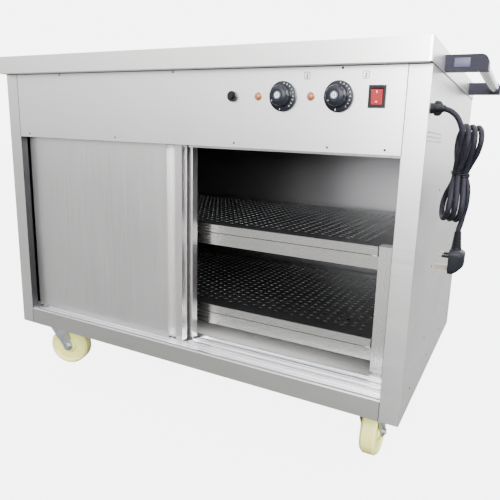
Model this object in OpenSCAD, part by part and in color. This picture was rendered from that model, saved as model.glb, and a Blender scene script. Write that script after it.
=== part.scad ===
// Mobile hot cupboard: heated worktop, two sliding doors, inner rack with two shelves, push handle, castors.
// The origin is on the floor, below the middle of the overall box. +X is to the right, +Y is to the back, +Z is up.

/* [Body] */
// Width over the two side panels
body_w = 1000; // [900:10:1400]
// Depth from the front posts to the back panel
body_d = 600; // [560:10:760]
// Height of the side panels below the worktop's lip
body_h = 621; // [600:1:760]
// Thickness of the stainless sheet
sheet_t = 1.2; // [1:0.1:1.6]
// Width of each front post, a fold of the side panel
post_w = 37; // [34:1:42]
// Height of the bottom front rail
rail_h = 39; // [36:1:42]
// Height of the fascia that shows below the lip
fascia_h = 143; // [136:1:160]

/* [Worktop] */
// Height of the folded lip
lip_h = 37; // [32:1:50]
// Overhang of the worktop in front of the posts
front_overhang = 20; // [16:1:24]
// Overhang of the worktop at each side
side_overhang = 2; // [2:0.5:4]
// Radius of the worktop's upright corners
corner_r = 5; // [3:0.5:8]

/* [Doors] */
// Thickness of a door
door_t = 18; // [16:1:18]
// Overlap of the two doors when they are closed
door_overlap = 8; // [6:1:30]
// Distance from the post's face back to the front door's face
door_inset = 21; // [20:1:22]

/* [Rack] */
// Height of the lower shelf's surface above the body's underside
lower_shelf_z = 117; // [110:1:130]
// Height of the upper shelf's surface above the body's underside
upper_shelf_z = 305; // [290:1:330]
// Depth of a shelf's folded front edge
shelf_lip = 18; // [16:1:20]
// Distance from the post's face back to the rack
rack_inset = 90; // [90:1:110]
// Width of an angle leg's flange
leg_w = 25; // [22:1:28]

/* [Controls] */
// Height of the controls' centres above the body's underside
control_z = 571; // [560:1:580]
// Diameter of a dial skirt
dial_d = 52; // [46:1:56]
// Distance that a knob stands out of the fascia
knob_reach = 26; // [24:1:30]

/* [Castors] */
// Overall height of a castor
castor_h = 122; // [118:1:130]
// Diameter of a wheel
wheel_d = 100; // [94:1:100]
// Width of a wheel's tread
wheel_w = 32; // [28:1:32]
// Distance from the swivel axis to the axle
trail = 30; // [24:1:32]

/* [Handle] */
// Distance that the handle stands out of the side panel
handle_reach = 72; // [66:1:90]
// Diameter of the handle's tube
tube_d = 20; // [18:1:22]
// Distance between the two brackets' centres
handle_span = 380; // [300:10:420]

/* [Cord] */
// Diameter of the power cord
cord_d = 9; // [8:0.5:9]

/* [Hidden] */
$fn = 48;
t = sheet_t;
in_post = 16;

// The cabinet's planes.
back_overhang = 2;
x_left = -(body_w + handle_reach - side_overhang) / 2;
x_right = x_left + body_w;
y_front = -(body_d + back_overhang - knob_reach) / 2;
y_back = y_front + body_d;
y_mid = (y_front + y_back) / 2;
z_body = castor_h;
z_lip = z_body + body_h;
z_top = z_lip + lip_h;
z_fascia = z_lip - fascia_h;
z_floor = z_body + rail_h;
x_open_left = x_left + post_w;
x_open_right = x_right - post_w;
pan_t = 2;
rail_return = 12;

// The doors and their tracks. Each door runs in a channel of its own, and a blade below it runs in a groove.
door_pitch = 25;
door_side_gap = 3;
door_sheet = 1;
door_w = (x_open_right - x_open_left + door_overlap) / 2 - door_side_gap;
y_door_front = y_front + door_inset;
y_door_rear = y_door_front + door_pitch;
x_door_front = x_open_left + door_side_gap;
x_door_rear = x_door_front + 9;
z_door = z_floor + 7;
z_door_top = z_fascia + 18;
pull_in = 17;
pull_w = 22;
pull_depth = 13;
blade_t = 3;
track_wall = 1.5;
track_web_z = z_fascia + 24;
track_drop = 5;
groove_half = 4;
ridge_h = 3.6;
track_d = 78;

// The rack.
leg_t = 2.5;
rack_side_gap = 21.5;
x_rack_left = x_open_left + rack_side_gap;
x_rack_right = x_open_right - rack_side_gap;
y_rack_front = y_front + rack_inset;
y_rack_back = y_back - 40;
rack_rail_h = 26;
rack_rail_d = 20;
rack_rail_t = 1.5;
shelf_gap = 1.5;
shelf_side_gap = 3;

// The controls, measured from the left side panel, in the order that they stand.
reset_x = x_left + 640;
lamp_top_x = x_left + 694;
knob_top_x = x_left + 745;
lamp_bottom_x = x_left + 798;
knob_bottom_x = x_left + 850;
switch_x = x_left + 916;
z_control = z_body + control_z;
shaft_d = 6;
collar_d = 9;
lamp_d = 10;
button_d = 10;
reset_collar_d = 19;
running_gap = 0.05;
switch_w = 29;
switch_h = 36;
rocker_tilt = 7;

// The heating elements.
element_d = 8;
element_pitch = 61;

// The castors: each one's swivel axis, and the heading of its trail at rest.
castor_in_x = 65;
castor_in_y = 58;
castor_sites = [
    [x_left + castor_in_x, y_front + castor_in_y, 20],
    [x_right - castor_in_x, y_front + castor_in_y, 90],
    [x_left + castor_in_x, y_back - castor_in_y, 290],
    [x_right - castor_in_x, y_back - castor_in_y, 250]];
plate_size = [90, 68, 3];
bolt_spacing = [66, 46];
bolt_r = 4.25;
boss_d = 44;
z_boss = castor_h - 9;
z_crown = z_boss - 4.5;
king_d = 12;
axle_d = 8;
fork_inner = 36.6;
fork_t = 2.5;
hub_w = 35.4;

// The handle.
bracket_size = 26;
z_handle = z_lip + 15;
x_tube = x_right + handle_reach - bracket_size / 2;
tube_in = 18;

// The cord. The hank hangs beside the right panel, turned and leaning, and the plug hangs below it.
y_gland = y_front + 22;
z_gland = z_body + 555;
gland_d = 24;
gland_reach = 22;
hank_mid = [x_right + 56, y_front + 50, z_body + 453];
hank_lean = 6;
hank_turn = -69;
hank_size = [7 * cord_d, 4 * cord_d, 162];
plug_turn = 0;
plug_face = [x_right + 50, y_front + 48, z_body + 306];
relief_top = z_body + 358;
// Points down the lead's middle, measured from the gland's outer face.
lead_points = [[0, 0, 0], [10, 0, -1], [19, 1, -6], [26, 2, -14], [31, 3, -25], [34, 5, -38], [35, 8, -53], [33, 12, -70]];
// Points down the tail's middle, measured from the top of the plug's relief.
tail_points = [[4, 3, 22], [2, 1, 12], [0, 0, 0]];

// A block between two corners.
module block(low, high) {
    translate(low) cube(high - low);
}

// A rectangle with round corners.
module round_rect(low, high, r) {
    translate([low.x + r, low.y]) square([high.x - low.x - 2 * r, high.y - low.y]);
    translate([low.x, low.y + r]) square([high.x - low.x, high.y - low.y - 2 * r]);
    for (x = [low.x + r, high.x - r], y = [low.y + r, high.y - r]) translate([x, y]) circle(r);
}

// A profile of [y, z] points, drawn out along X.
module along_x(x0, x1, points) {
    translate([x0, 0, 0]) rotate([90, 0, 90]) linear_extrude(x1 - x0) polygon(points);
}

// A round bar along X, Y or Z from a point.
module bar_x(from, d, length) {
    translate(from) rotate([0, 90, 0]) cylinder(d = d, h = length);
}

module bar_y(from, d, length) {
    translate(from) rotate([-90, 0, 0]) cylinder(d = d, h = length);
}

// A horizontal sheet that fills the cabinet's plan, clear of the posts' folds.
module plan_sheet(z0, z1, y0) {
    block([x_open_left, y0, z0], [x_open_right, y_front + in_post + 1, z1]);
    block([x_left + t, y_front + in_post, z0], [x_right - t, y_back - 2 * t, z1]);
}

module worktop() {
    low = [x_left - side_overhang, y_front - front_overhang];
    high = [x_right + side_overhang, y_back + back_overhang];
    color("gainsboro") {
        difference() {
            translate([0, 0, z_lip]) linear_extrude(lip_h) round_rect(low, high, corner_r);
            translate([0, 0, z_lip - 1]) linear_extrude(lip_h + 1 - t)
                round_rect(low + [t, t], high - [t, t], corner_r - t);
        }
        block([low.x + corner_r, low.y + t / 2, z_lip], [high.x - corner_r, y_front - t, z_lip + t]);
    }
}

// Two hat-section ribs across the underside of the worktop.
module top_ribs() {
    web = 25;
    brim = 12;
    depth = 22;
    rib_t = 1.5;
    hat = [[-web - brim, 0], [-web - brim, -rib_t], [-web, -rib_t], [-web, -depth], [web, -depth],
        [web, -rib_t], [web + brim, -rib_t], [web + brim, 0], [web - rib_t, 0],
        [web - rib_t, rib_t - depth], [rib_t - web, rib_t - depth], [rib_t - web, 0]];
    color("lightgray") for (y = [y_front + 150, y_back - 150])
        translate([0, y, z_top - t]) along_x(x_left + 45, x_right - 45, hat);
}

// A side panel folded round the front as a post, at the left. The right one is its mirror image.
module side_sheet() {
    height = z_top - t - z_body;
    back_fold = 18;
    translate([x_left, y_front, z_body]) linear_extrude(height) {
        square([t, body_d]);
        square([post_w, t]);
        translate([post_w - t, 0]) square([t, in_post]);
        translate([0, body_d - 2 * t]) square([back_fold, t]);
    }
    block([x_left + t / 2, y_front + in_post + 1, z_body + pan_t],
        [x_left + 24, y_back - 2 * t, z_body + pan_t + t]);
}

module to_right_side() {
    translate([x_left + x_right, 0, 0]) mirror([1, 0, 0]) children();
}

module side_panel_left() {
    color("silver") side_sheet();
}

// The right panel also carries the gland's hole and the vent of the control space.
module side_panel_right() {
    rows = 3;
    slots = 8;
    slot_w = 12;
    slot_h = 3;
    slot_pitch = [18, 7];
    slot_low = z_body + 502;
    color("silver") difference() {
        to_right_side() side_sheet();
        bar_x([x_right - 2 * t, y_gland, z_gland], 18, 4 * t);
        for (i = [0 : slots - 1], k = [0 : rows - 1]) {
            y = y_front + 12 + i * slot_pitch.x;
            z = slot_low + k * slot_pitch.y;
            block([x_right - 2 * t, y, z], [x_right + t, y + slot_w, z + slot_h]);
        }
    }
}

module back_panel() {
    color("silver") block([x_left + t, y_back - t, z_body + pan_t], [x_right - t, y_back, z_lip + 30]);
}

// The bottom sheet that the castor plates are bolted to.
module base_pan() {
    color("silver") difference() {
        plan_sheet(z_body, z_body + pan_t, y_front + t);
        for (site = castor_sites) translate([site.x, site.y, z_body - 1]) plate_bolts(pan_t + 2);
    }
}

// The inside floor, with its edges folded down to the side panels' bottom folds.
module cabinet_floor() {
    color("darkgray") {
        block([x_open_left, y_front + rail_return, z_floor - t], [x_open_right, y_front + in_post + 1, z_floor]);
        block([x_left + t, y_front + in_post, z_floor - t], [x_right - t, y_back - 2 * t, z_floor]);
        for (x = [x_left + t, x_right - 2 * t])
            block([x, y_front + in_post + 1, z_body + pan_t + t], [x + t, y_back - 2 * t, z_floor - t / 2]);
    }
}

// The front panel that carries the controls, between the two posts.
module front_fascia() {
    fold = 14;
    color("silver") difference() {
        union() {
            block([x_open_left, y_front, z_fascia], [x_open_right, y_front + t, z_top - 2 * t]);
            block([x_open_left, y_front, z_fascia], [x_open_right, y_front + fold, z_fascia + t]);
        }
        for (x = [knob_top_x, knob_bottom_x]) bar_y([x, y_front - t, z_control], collar_d + 1, 4 * t);
        for (x = [lamp_top_x, lamp_bottom_x]) bar_y([x, y_front - t, z_control], lamp_d + 0.4, 4 * t);
        bar_y([reset_x, y_front - t, z_control], button_d + 4.4, 4 * t);
        block([switch_x - switch_w / 2 + 2.3, y_front - t, z_control - switch_h / 2 + 2.3],
            [switch_x + switch_w / 2 - 2.3, y_front + 3 * t, z_control + switch_h / 2 - 2.3]);
    }
}

// The plate between the heated space and the control space.
module cabinet_roof() {
    color("darkgray") plan_sheet(track_web_z + track_wall, track_web_z + track_wall + t, y_front + t);
}

module bottom_rail() {
    color("silver") {
        block([x_open_left, y_front, z_body], [x_open_right, y_front + t, z_floor]);
        block([x_open_left, y_front, z_floor - t], [x_open_right, y_front + rail_return, z_floor]);
    }
}

// The upper track: three walls that hang from one web.
module track_top() {
    low = z_fascia - track_drop;
    front_wall = y_door_front - 2 - track_wall;
    middle_wall = y_door_front + (door_pitch + door_t - track_wall) / 2;
    rear_wall = y_door_rear + door_t + 2;
    color("whitesmoke") {
        block([x_open_left, front_wall, track_web_z], [x_open_right, rear_wall + track_wall, track_web_z + track_wall]);
        block([x_open_left, front_wall, z_fascia + 3], [x_open_right, front_wall + track_wall, track_web_z + 0.5]);
        for (y = [middle_wall, rear_wall])
            block([x_open_left, y, low], [x_open_right, y + track_wall, track_web_z + 0.5]);
    }
}

// The lower track: a ribbed extrusion with a groove for each door's blade.
module track_bottom() {
    base = 1.5;
    fine_h = 1.2;
    grooves = [y_door_front + door_t / 2, y_door_rear + door_t / 2];
    guides = [for (y = grooves, side = [-1, 1]) y + side * (groove_half + track_wall / 2)];
    fine = [8, 13, 18, 42, 66, 71];
    color("whitesmoke") {
        block([x_open_left, y_front + track_wall, z_floor], [x_open_right, y_front + track_d, z_floor + base]);
        for (y = concat([y_front + 2 * track_wall, y_front + track_d - track_wall / 2], guides))
            block([x_open_left, y - track_wall / 2, z_floor + base / 2],
                [x_open_right, y + track_wall / 2, z_floor + base + ridge_h]);
        for (y = fine)
            block([x_open_left, y_front + y - 0.5, z_floor + base / 2],
                [x_open_right, y_front + y + 0.5, z_floor + base + fine_h]);
    }
}

// An angle leg with its corner at the rack's front left corner.
module angle_leg() {
    height = z_body + upper_shelf_z - z_floor;
    translate([x_rack_left, y_rack_front, z_floor]) {
        cube([leg_w, leg_t, height]);
        cube([leg_t, leg_w, height]);
    }
}

module to_rack_back() {
    translate([0, y_rack_front + y_rack_back, 0]) mirror([0, 1, 0]) children();
}

// The rack's four identical legs, each a separate solid.
module rack_legs() {
    color("gainsboro") {
        angle_leg();
        to_right_side() angle_leg();
        to_rack_back() angle_leg();
        to_right_side() to_rack_back() angle_leg();
    }
}

// A channel rail between the two front legs, below a shelf whose surface is at the height given.
module rack_rail(shelf_z) {
    y = y_rack_front;
    top = z_body + shelf_z - shelf_lip - shelf_gap;
    low = top - rack_rail_h;
    s = rack_rail_t;
    color("gainsboro") along_x(x_rack_left + leg_w, x_rack_right - leg_w, [[y, low], [y + rack_rail_d, low],
        [y + rack_rail_d, low + s], [y + s, low + s], [y + s, top - s], [y + rack_rail_d, top - s],
        [y + rack_rail_d, top], [y, top]]);
}

module rail_upper_front() {
    rack_rail(upper_shelf_z);
}

module rail_upper_back() {
    to_rack_back() rack_rail(upper_shelf_z);
}

module rail_lower_front() {
    rack_rail(lower_shelf_z);
}

module rail_lower_back() {
    to_rack_back() rack_rail(lower_shelf_z);
}

// A shelf: a sheet notched round the legs, with its edges folded down. Its feet rest on the rails.
module shelf(shelf_z) {
    x0 = x_rack_left + leg_w + shelf_side_gap;
    x1 = x_rack_right - leg_w - shelf_side_gap;
    wing0 = x_left + 12;
    wing1 = x_right - 12;
    notch0 = y_rack_front + leg_w + shelf_side_gap;
    notch1 = y_rack_back - leg_w - shelf_side_gap;
    top = z_body + shelf_z;
    low = top - shelf_lip;
    color("dimgray") {
        block([x0, y_rack_front, top - t], [x1, y_rack_back, top]);
        block([wing0, notch0, top - t], [wing1, notch1, top]);
        for (y = [y_rack_front, y_rack_back - t]) block([x0, y, low], [x1, y + t, top]);
        for (x = [wing0, wing1 - t]) block([x, notch0, low], [x + t, notch1, top]);
        for (x = [x0, x1 - 10], y = [y_rack_front, y_rack_back - 12])
            block([x, y, low - shelf_gap], [x + 10, y + 12, top - t / 2]);
    }
}

module shelf_upper() {
    shelf(upper_shelf_z);
}

module shelf_lower() {
    shelf(lower_shelf_z);
}

// A tubular element of four runs joined by three bends, on three cross bars, centred in the cabinet's plan.
// The bars' outer faces are at the height given by seat, above or below the runs.
module heating_element(z, seat) {
    x0 = x_left + 180;
    x1 = x_right - 180;
    y0 = y_mid - 1.5 * element_pitch;
    foot = 14;
    color("slategray") {
        for (i = [0 : 3]) bar_x([x0, y0 + i * element_pitch, z], element_d, x1 - x0);
        for (i = [0, 2]) translate([x1, y0 + (i + 0.5) * element_pitch, z]) rotate([0, 0, -90]) element_bend();
        translate([x0, y_mid, z]) rotate([0, 0, 90]) element_bend();
        for (x = [x0 + 60, (x0 + x1) / 2, x1 - 60]) {
            block([x - 5, y0 - foot, z - 1], [x + 5, y0 + 3 * element_pitch + foot, z + 1]);
            for (y = [y0 - foot, y0 + 3 * element_pitch + foot - 2])
                block([x - 5, y, min(z - 1, seat)], [x + 5, y + 2, max(z + 1, seat)]);
        }
    }
}

module element_bend() {
    rotate_extrude(angle = 180) translate([element_pitch / 2, 0]) circle(d = element_d);
}

module heater_top() {
    heating_element(z_top - t - 24, z_top - t);
}

module heater_bottom() {
    heating_element(z_floor + 16, z_floor);
}

// A capillary thermostat behind the fascia, with the shaft that its knob turns on.
module thermostat(x) {
    block([x - 24, y_front + t, z_control - 16], [x + 24, y_front + t + 2, z_control + 16]);
    bar_y([x, y_front + t + 1, z_control], 36, 24);
    bar_y([x, y_front - 0.2, z_control], collar_d, t + 2);
    bar_y([x, y_front - 15, z_control], shaft_d, 18);
}

// The two identical thermostats, one behind each knob.
module thermostats() {
    color("tan") for (x = [knob_top_x, knob_bottom_x]) thermostat(x);
}

// A pilot lamp: a barrel through the fascia, a thin flange and a lens.
module lamp(x) {
    color("orange") {
        bar_y([x, y_front - 0.5, z_control], lamp_d, 24);
        bar_y([x, y_front - 1.5, z_control], lamp_d + 3, 1.5);
        bar_y([x, y_front - 5, z_control], lamp_d - 2, 5);
    }
}

module lamp_top() {
    lamp(lamp_top_x);
}

module lamp_bottom() {
    lamp(lamp_bottom_x);
}

// The over-temperature cut-out, and the button that resets it.
module reset_cutout() {
    color("dimgray") difference() {
        union() {
            block([reset_x - 14, y_front + t, z_control - 18], [reset_x + 14, y_front + 26, z_control + 18]);
            bar_y([reset_x, y_front - 1, z_control], button_d + 4, 8);
            bar_y([reset_x, y_front - 6, z_control], reset_collar_d, 6);
        }
        bar_y([reset_x, y_front - 7, z_control], button_d + 2 * running_gap, 25);
    }
}

module reset_button() {
    color("black") bar_y([reset_x, y_front - 11, z_control], button_d, 22);
}

// The rocker switch: a bezel with a hollow body behind it, and the rocker on its pins.
module switch_bezel() {
    half = [switch_w / 2, switch_h / 2];
    body = half - [2.5, 2.5];
    hollow = half - [4.6, 4.5];
    color("black") difference() {
        union() {
            block([switch_x - half.x, y_front - 3, z_control - half.y], [switch_x + half.x, y_front, z_control + half.y]);
            block([switch_x - body.x, y_front - 1, z_control - body.y], [switch_x + body.x, y_front + 22, z_control + body.y]);
        }
        block([switch_x - hollow.x, y_front - 4, z_control - hollow.y],
            [switch_x + hollow.x, y_front + 14, z_control + hollow.y]);
        bar_x([switch_x - hollow.x - 1.5, y_front + 3, z_control], 3 + 2 * running_gap, 2 * hollow.x + 3);
    }
}

module switch_rocker() {
    half_w = 9.4;
    half_h = 12.2;
    pin = 10.9;
    color("red") translate([switch_x, y_front + 3, z_control]) rotate([rocker_tilt, 0, 0]) {
        along_x(-half_w, half_w, [[-7, -half_h], [-7, half_h], [-5.5, half_h], [5, 7], [5, -7], [-5.5, -half_h]]);
        bar_x([-pin, 0, 0], 3, 2 * pin);
    }
}

module terminal_block() {
    x = x_right - 130;
    y = y_front + 180;
    z = track_web_z + track_wall + t;
    color("ivory") {
        block([x, y, z], [x + 70, y + 24, z + 12]);
        for (i = [0 : 4]) block([x + 3 + i * 14, y + 4, z + 10], [x + 11 + i * 14, y + 20, z + 20]);
    }
}

// A knob with a dial skirt, with a blind bore for the thermostat's shaft.
module knob(x) {
    face = 0.8;
    skirt_h = 6;
    grip_d = 36;
    color("black") difference() {
        union() {
            bar_y([x, y_front - face - skirt_h, z_control], dial_d, skirt_h);
            bar_y([x, y_front - knob_reach, z_control], grip_d, knob_reach - face - skirt_h / 2);
        }
        bar_y([x, y_front - 16, z_control], shaft_d + 2 * running_gap, 17);
        bar_y([x, y_front - 3, z_control], collar_d + 3, 4);
    }
}

module knob_top() {
    knob(knob_top_x);
}

module knob_bottom() {
    knob(knob_bottom_x);
}

// The gland: a thread through the panel, its locknut inside, a base and a domed nut outside.
module cable_gland() {
    color("black") {
        bar_x([x_right - 12, y_gland, z_gland], 17.6, 14);
        bar_x([x_right - t - 5, y_gland, z_gland], gland_d, 5);
        bar_x([x_right, y_gland, z_gland], gland_d, 6);
        bar_x([x_right + 5, y_gland, z_gland], gland_d - 3, gland_reach - 9);
        bar_x([x_right + gland_reach - 5, y_gland, z_gland], cord_d + 6, 5);
    }
}

// A tube of eight sides swept along points, with each ring square to the path.
function unit(v) = v / norm(v);
function heading(points, i) =
    unit(points[min(i + 1, len(points) - 1)] - points[max(i - 1, 0)]);
function ring(points, i, d, sides) =
    let (h = heading(points, i), u = unit(cross(h, [0, 1, 0])), v = cross(h, u))
    [for (k = [0 : sides - 1]) points[i] + d / 2 * (cos(360 * k / sides) * u + sin(360 * k / sides) * v)];

module sweep(points, d) {
    sides = 8;
    n = len(points);
    rings = [for (i = [0 : n - 1]) each ring(points, i, d, sides)];
    walls = [for (i = [0 : n - 2], k = [0 : sides - 1])
        [i * sides + k, i * sides + (k + 1) % sides, (i + 1) * sides + (k + 1) % sides, (i + 1) * sides + k]];
    first = [for (k = [sides - 1 : -1 : 0]) k];
    last = [for (k = [0 : sides - 1]) (n - 1) * sides + k];
    polyhedron(rings, concat([first], walls, [last]));
}

module cord_lead() {
    color("black") translate([x_right + gland_reach, y_gland, z_gland]) sweep(lead_points, cord_d);
}

// The outer shape of the tied hank: an outline with round ends.
module cord_hank() {
    straight = hank_size.z - hank_size.x;
    color("black") translate(hank_mid) rotate([0, hank_lean, 0]) rotate([0, 0, hank_turn])
        translate([0, hank_size.y / 2, 0]) rotate([90, 0, 0]) linear_extrude(hank_size.y) {
            square([hank_size.x, straight], center = true);
            for (side = [-1, 1]) translate([0, side * straight / 2]) circle(d = hank_size.x);
        }
}

module at_plug() {
    translate(plug_face) rotate([0, 0, plug_turn]) children();
}

module cord_tail() {
    color("black") translate([plug_face.x, plug_face.y, relief_top]) at_plug_exit() sweep(tail_points, cord_d);
}

// Moves from the plug's face to the line that the cord leaves it on.
module at_plug_exit() {
    translate([9 * cos(plug_turn), 9 * sin(plug_turn), 0]) children();
}

// A moulded mains plug with its relief, with its pins towards the cabinet.
module plug_body() {
    width = 48;
    low = -20;
    high = 22;
    deep = 24;
    relief = relief_top - plug_face.z;
    color("black") at_plug() {
        hull() {
            rotate([90, 0, 90]) linear_extrude(6) round_rect([-width / 2, low], [width / 2, high], 9, $fn = 32);
            translate([deep - 2, 0, 0]) rotate([90, 0, 90]) linear_extrude(2)
                round_rect([9 - width / 2, low + 13], [width / 2 - 9, high - 5], 9, $fn = 32);
        }
        translate([9, 0, high - 8]) cylinder(d1 = 18, d2 = 12, h = relief - high + 8);
    }
}

module plug_pins() {
    color("goldenrod") at_plug() {
        for (side = [-1, 1]) translate([-17.7, side * 11.1 - 3.2, 7]) cube([17.7, 6.4, 4]);
        translate([-22.7, -2, -17.2]) cube([22.7, 4, 8]);
    }
}

// A moulded bracket with a round outer corner and a socket for the tube. It faces the other bracket along dir.
module handle_bracket(y, dir) {
    x0 = x_right + side_overhang;
    x1 = x_right + handle_reach;
    s = bracket_size;
    r = s / 2;
    color("black") difference() {
        translate([0, y + s / 2, z_handle - s / 2]) rotate([90, 0, 0]) linear_extrude(s) {
            translate([x0, 0]) square([x1 - x0 - r, s]);
            translate([x0, 0]) square([x1 - x0, s - r]);
            translate([x1 - r, s - r]) circle(r);
        }
        bar_y([x_tube, dir > 0 ? y + s / 2 - tube_in : y - s / 2 - 1, z_handle], tube_d + 2 * running_gap, tube_in + 1);
    }
}

module handle_bracket_front() {
    handle_bracket(y_mid - handle_span / 2, 1);
}

module handle_bracket_back() {
    handle_bracket(y_mid + handle_span / 2, -1);
}

module handle_tube() {
    length = handle_span - bracket_size + 2 * tube_in;
    wall = 1.2;
    color("gainsboro") difference() {
        bar_y([x_tube, y_mid - length / 2, z_handle], tube_d, length);
        bar_y([x_tube, y_mid - length / 2 - 1, z_handle], tube_d - 2 * wall, length + 2);
    }
}

// A door's outer leaf: a folded pan from its leading edge up to the pull channel.
module door_leaf(x, y) {
    s = door_sheet;
    wide = door_w - pull_in - pull_w - s;
    deep = door_t - s;
    height = z_door_top - z_door;
    color("silver") translate([x, y, z_door]) {
        cube([wide, s, height]);
        cube([s, deep, height]);
        for (z = [0, height - s]) translate([0, 0, z]) cube([wide, deep, s]);
    }
}

// The channel that the fingers hold a door by: two walls and a web, with a cap at each end behind the web.
module door_pull(x, y) {
    s = door_sheet;
    pull0 = door_w - pull_in - pull_w;
    height = z_door_top - z_door;
    color("silver") translate([x + pull0 - s, y, z_door]) {
        cube([s, pull_depth, height]);
        translate([pull_w + s, 0, 0]) cube([s, pull_depth, height]);
        translate([0, pull_depth - s, 0]) cube([pull_w + 2 * s, s, height]);
        for (z = [0, height - s])
            translate([0, pull_depth - s, z]) cube([pull_w + 2 * s, door_t - pull_depth, s]);
    }
}

// The narrow pan that closes a door beyond its pull channel.
module door_stile(x, y) {
    s = door_sheet;
    x0 = door_w - pull_in + s;
    wide = pull_in - s;
    deep = door_t - s;
    height = z_door_top - z_door;
    color("silver") translate([x + x0, y, z_door]) {
        cube([wide, s, height]);
        translate([wide - s, 0, 0]) cube([s, deep, height]);
        for (z = [0, height - s]) translate([0, 0, z]) cube([wide, deep, s]);
    }
}

// A door's inner skin, with the blade that runs in the lower track.
module door_liner(x, y) {
    s = door_sheet;
    foot = 1.2;
    blade_y = door_t / 2;
    blade_low = z_floor + 2 - z_door;
    color("lightgray") translate([x, y, z_door]) {
        translate([0, door_t - s, -foot]) cube([door_w, s, z_door_top - z_door + foot]);
        translate([10, blade_y - blade_t / 2, -foot]) cube([door_w - 20, door_t / 2 + blade_t / 2, foot]);
        translate([10, blade_y - blade_t / 2, blade_low]) cube([door_w - 20, blade_t, -blade_low]);
    }
}

module door_front_leaf() {
    door_leaf(x_door_front, y_door_front);
}

module door_front_pull() {
    door_pull(x_door_front, y_door_front);
}

module door_front_stile() {
    door_stile(x_door_front, y_door_front);
}

module door_front_liner() {
    door_liner(x_door_front, y_door_front);
}

module door_rear_leaf() {
    door_leaf(x_door_rear, y_door_rear);
}

module door_rear_pull() {
    door_pull(x_door_rear, y_door_rear);
}

module door_rear_stile() {
    door_stile(x_door_rear, y_door_rear);
}

module door_rear_liner() {
    door_liner(x_door_rear, y_door_rear);
}

// The four bolts of a castor's plate, as cutting bars.
module plate_bolts(length) {
    for (x = [-0.5, 0.5], y = [-0.5, 0.5])
        translate([x * bolt_spacing.x, y * bolt_spacing.y, 0]) cylinder(r = bolt_r, h = length);
}

// A castor's fixed plate, with the boss that the king pin turns in.
module castor_plate(i) {
    site = castor_sites[i];
    color("lightsteelblue") translate([site.x, site.y, 0]) difference() {
        union() {
            translate([-plate_size.x / 2, -plate_size.y / 2, castor_h - plate_size.z]) cube(plate_size);
            translate([0, 0, z_boss]) cylinder(d = boss_d, h = castor_h - z_boss - 1);
        }
        translate([0, 0, castor_h - plate_size.z - 1]) plate_bolts(plate_size.z + 2);
        translate([0, 0, z_boss - 1]) cylinder(d = king_d + 2 * running_gap, h = castor_h - z_boss + 2);
    }
}

// Moves to a castor's swivel axis, turned to the heading of its trail.
module at_castor(i) {
    site = castor_sites[i];
    translate([site.x, site.y, 0]) rotate([0, 0, site.z]) children();
}

// A castor's fork, with its king pin above and the axle below.
module castor_fork(i) {
    half = fork_inner / 2 + fork_t;
    nut = 5;
    z_axle = wheel_d / 2;
    color("lightsteelblue") at_castor(i) {
        translate([-24, -half, z_crown]) cube([48, 2 * half, z_boss - 0.8 - z_crown]);
        translate([0, 0, z_crown + 1]) cylinder(d = boss_d - 6, h = z_boss - 0.3 - z_crown - 1);
        translate([0, 0, z_crown + 1]) cylinder(d = king_d, h = castor_h - 0.5 - z_crown - 1);
        for (y = [-half, half - fork_t]) translate([0, y + fork_t, 0]) rotate([90, 0, 0]) linear_extrude(fork_t) {
            polygon([[-20, z_crown + 1], [24, z_crown + 1], [trail + 12, z_axle], [trail - 12, z_axle]]);
            translate([trail, z_axle]) circle(12);
        }
        bar_y([trail, -half - nut, z_axle], axle_d, 2 * (half + nut));
        for (y = [-half - nut, half]) bar_y([trail, y, z_axle], 13, nut);
    }
}

// A nylon wheel: a crowned tread, a shallow dish on each face and a hub.
module castor_wheel(i) {
    r = wheel_d / 2;
    tread = wheel_w / 2;
    dish = tread - 3;
    half = [[axle_d / 2 + running_gap, hub_w / 2], [16, hub_w / 2], [19, dish], [37, dish], [42, tread],
        [r - 4, tread], [r, tread - 5]];
    other = [for (k = [len(half) - 1 : -1 : 0]) [half[k].x, -half[k].y]];
    color("lightgoldenrodyellow") at_castor(i) translate([trail, 0, r]) rotate([90, 0, 0])
        rotate_extrude() polygon(concat(half, other));
}

worktop();
top_ribs();
side_panel_left();
side_panel_right();
back_panel();
base_pan();
cabinet_floor();
front_fascia();
cabinet_roof();
bottom_rail();
track_top();
track_bottom();
rack_legs();
rail_upper_front();
rail_upper_back();
rail_lower_front();
rail_lower_back();
shelf_upper();
shelf_lower();
heater_top();
heater_bottom();
thermostats();
lamp_top();
lamp_bottom();
reset_cutout();
reset_button();
switch_bezel();
switch_rocker();
terminal_block();
knob_top();
knob_bottom();
cable_gland();
cord_lead();
cord_hank();
cord_tail();
plug_body();
plug_pins();
handle_bracket_front();
handle_bracket_back();
handle_tube();
door_front_leaf();
door_front_pull();
door_front_stile();
door_front_liner();
door_rear_leaf();
door_rear_pull();
door_rear_stile();
door_rear_liner();
castor_plate(0);  // castor_plate_front_left
castor_plate(1);  // castor_plate_front_right
castor_plate(2);  // castor_plate_back_left
castor_plate(3);  // castor_plate_back_right
castor_fork(0);  // castor_fork_front_left
castor_fork(1);  // castor_fork_front_right
castor_fork(2);  // castor_fork_back_left
castor_fork(3);  // castor_fork_back_right
castor_wheel(0);  // castor_wheel_front_left
castor_wheel(1);  // castor_wheel_front_right
castor_wheel(2);  // castor_wheel_back_left
castor_wheel(3);  // castor_wheel_back_right
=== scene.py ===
"""A mobile hot cupboard in brushed stainless steel: its finishes, fittings, mains cord and studio.

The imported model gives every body, joint and size. This script dresses it, adds the small fittings
that it leaves out, and sets up the studio. Lengths are in metres, unless a name ends in _mm or
a comment says millimetres. Turned profiles and small printed shapes are drawn in millimetres.
"""

from __future__ import annotations

import logging
import math
from dataclasses import dataclass, field
from enum import Enum
from typing import Any, Callable, Iterable, Mapping, Sequence

import bmesh
import bpy
from mathutils import Matrix, Vector

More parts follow.
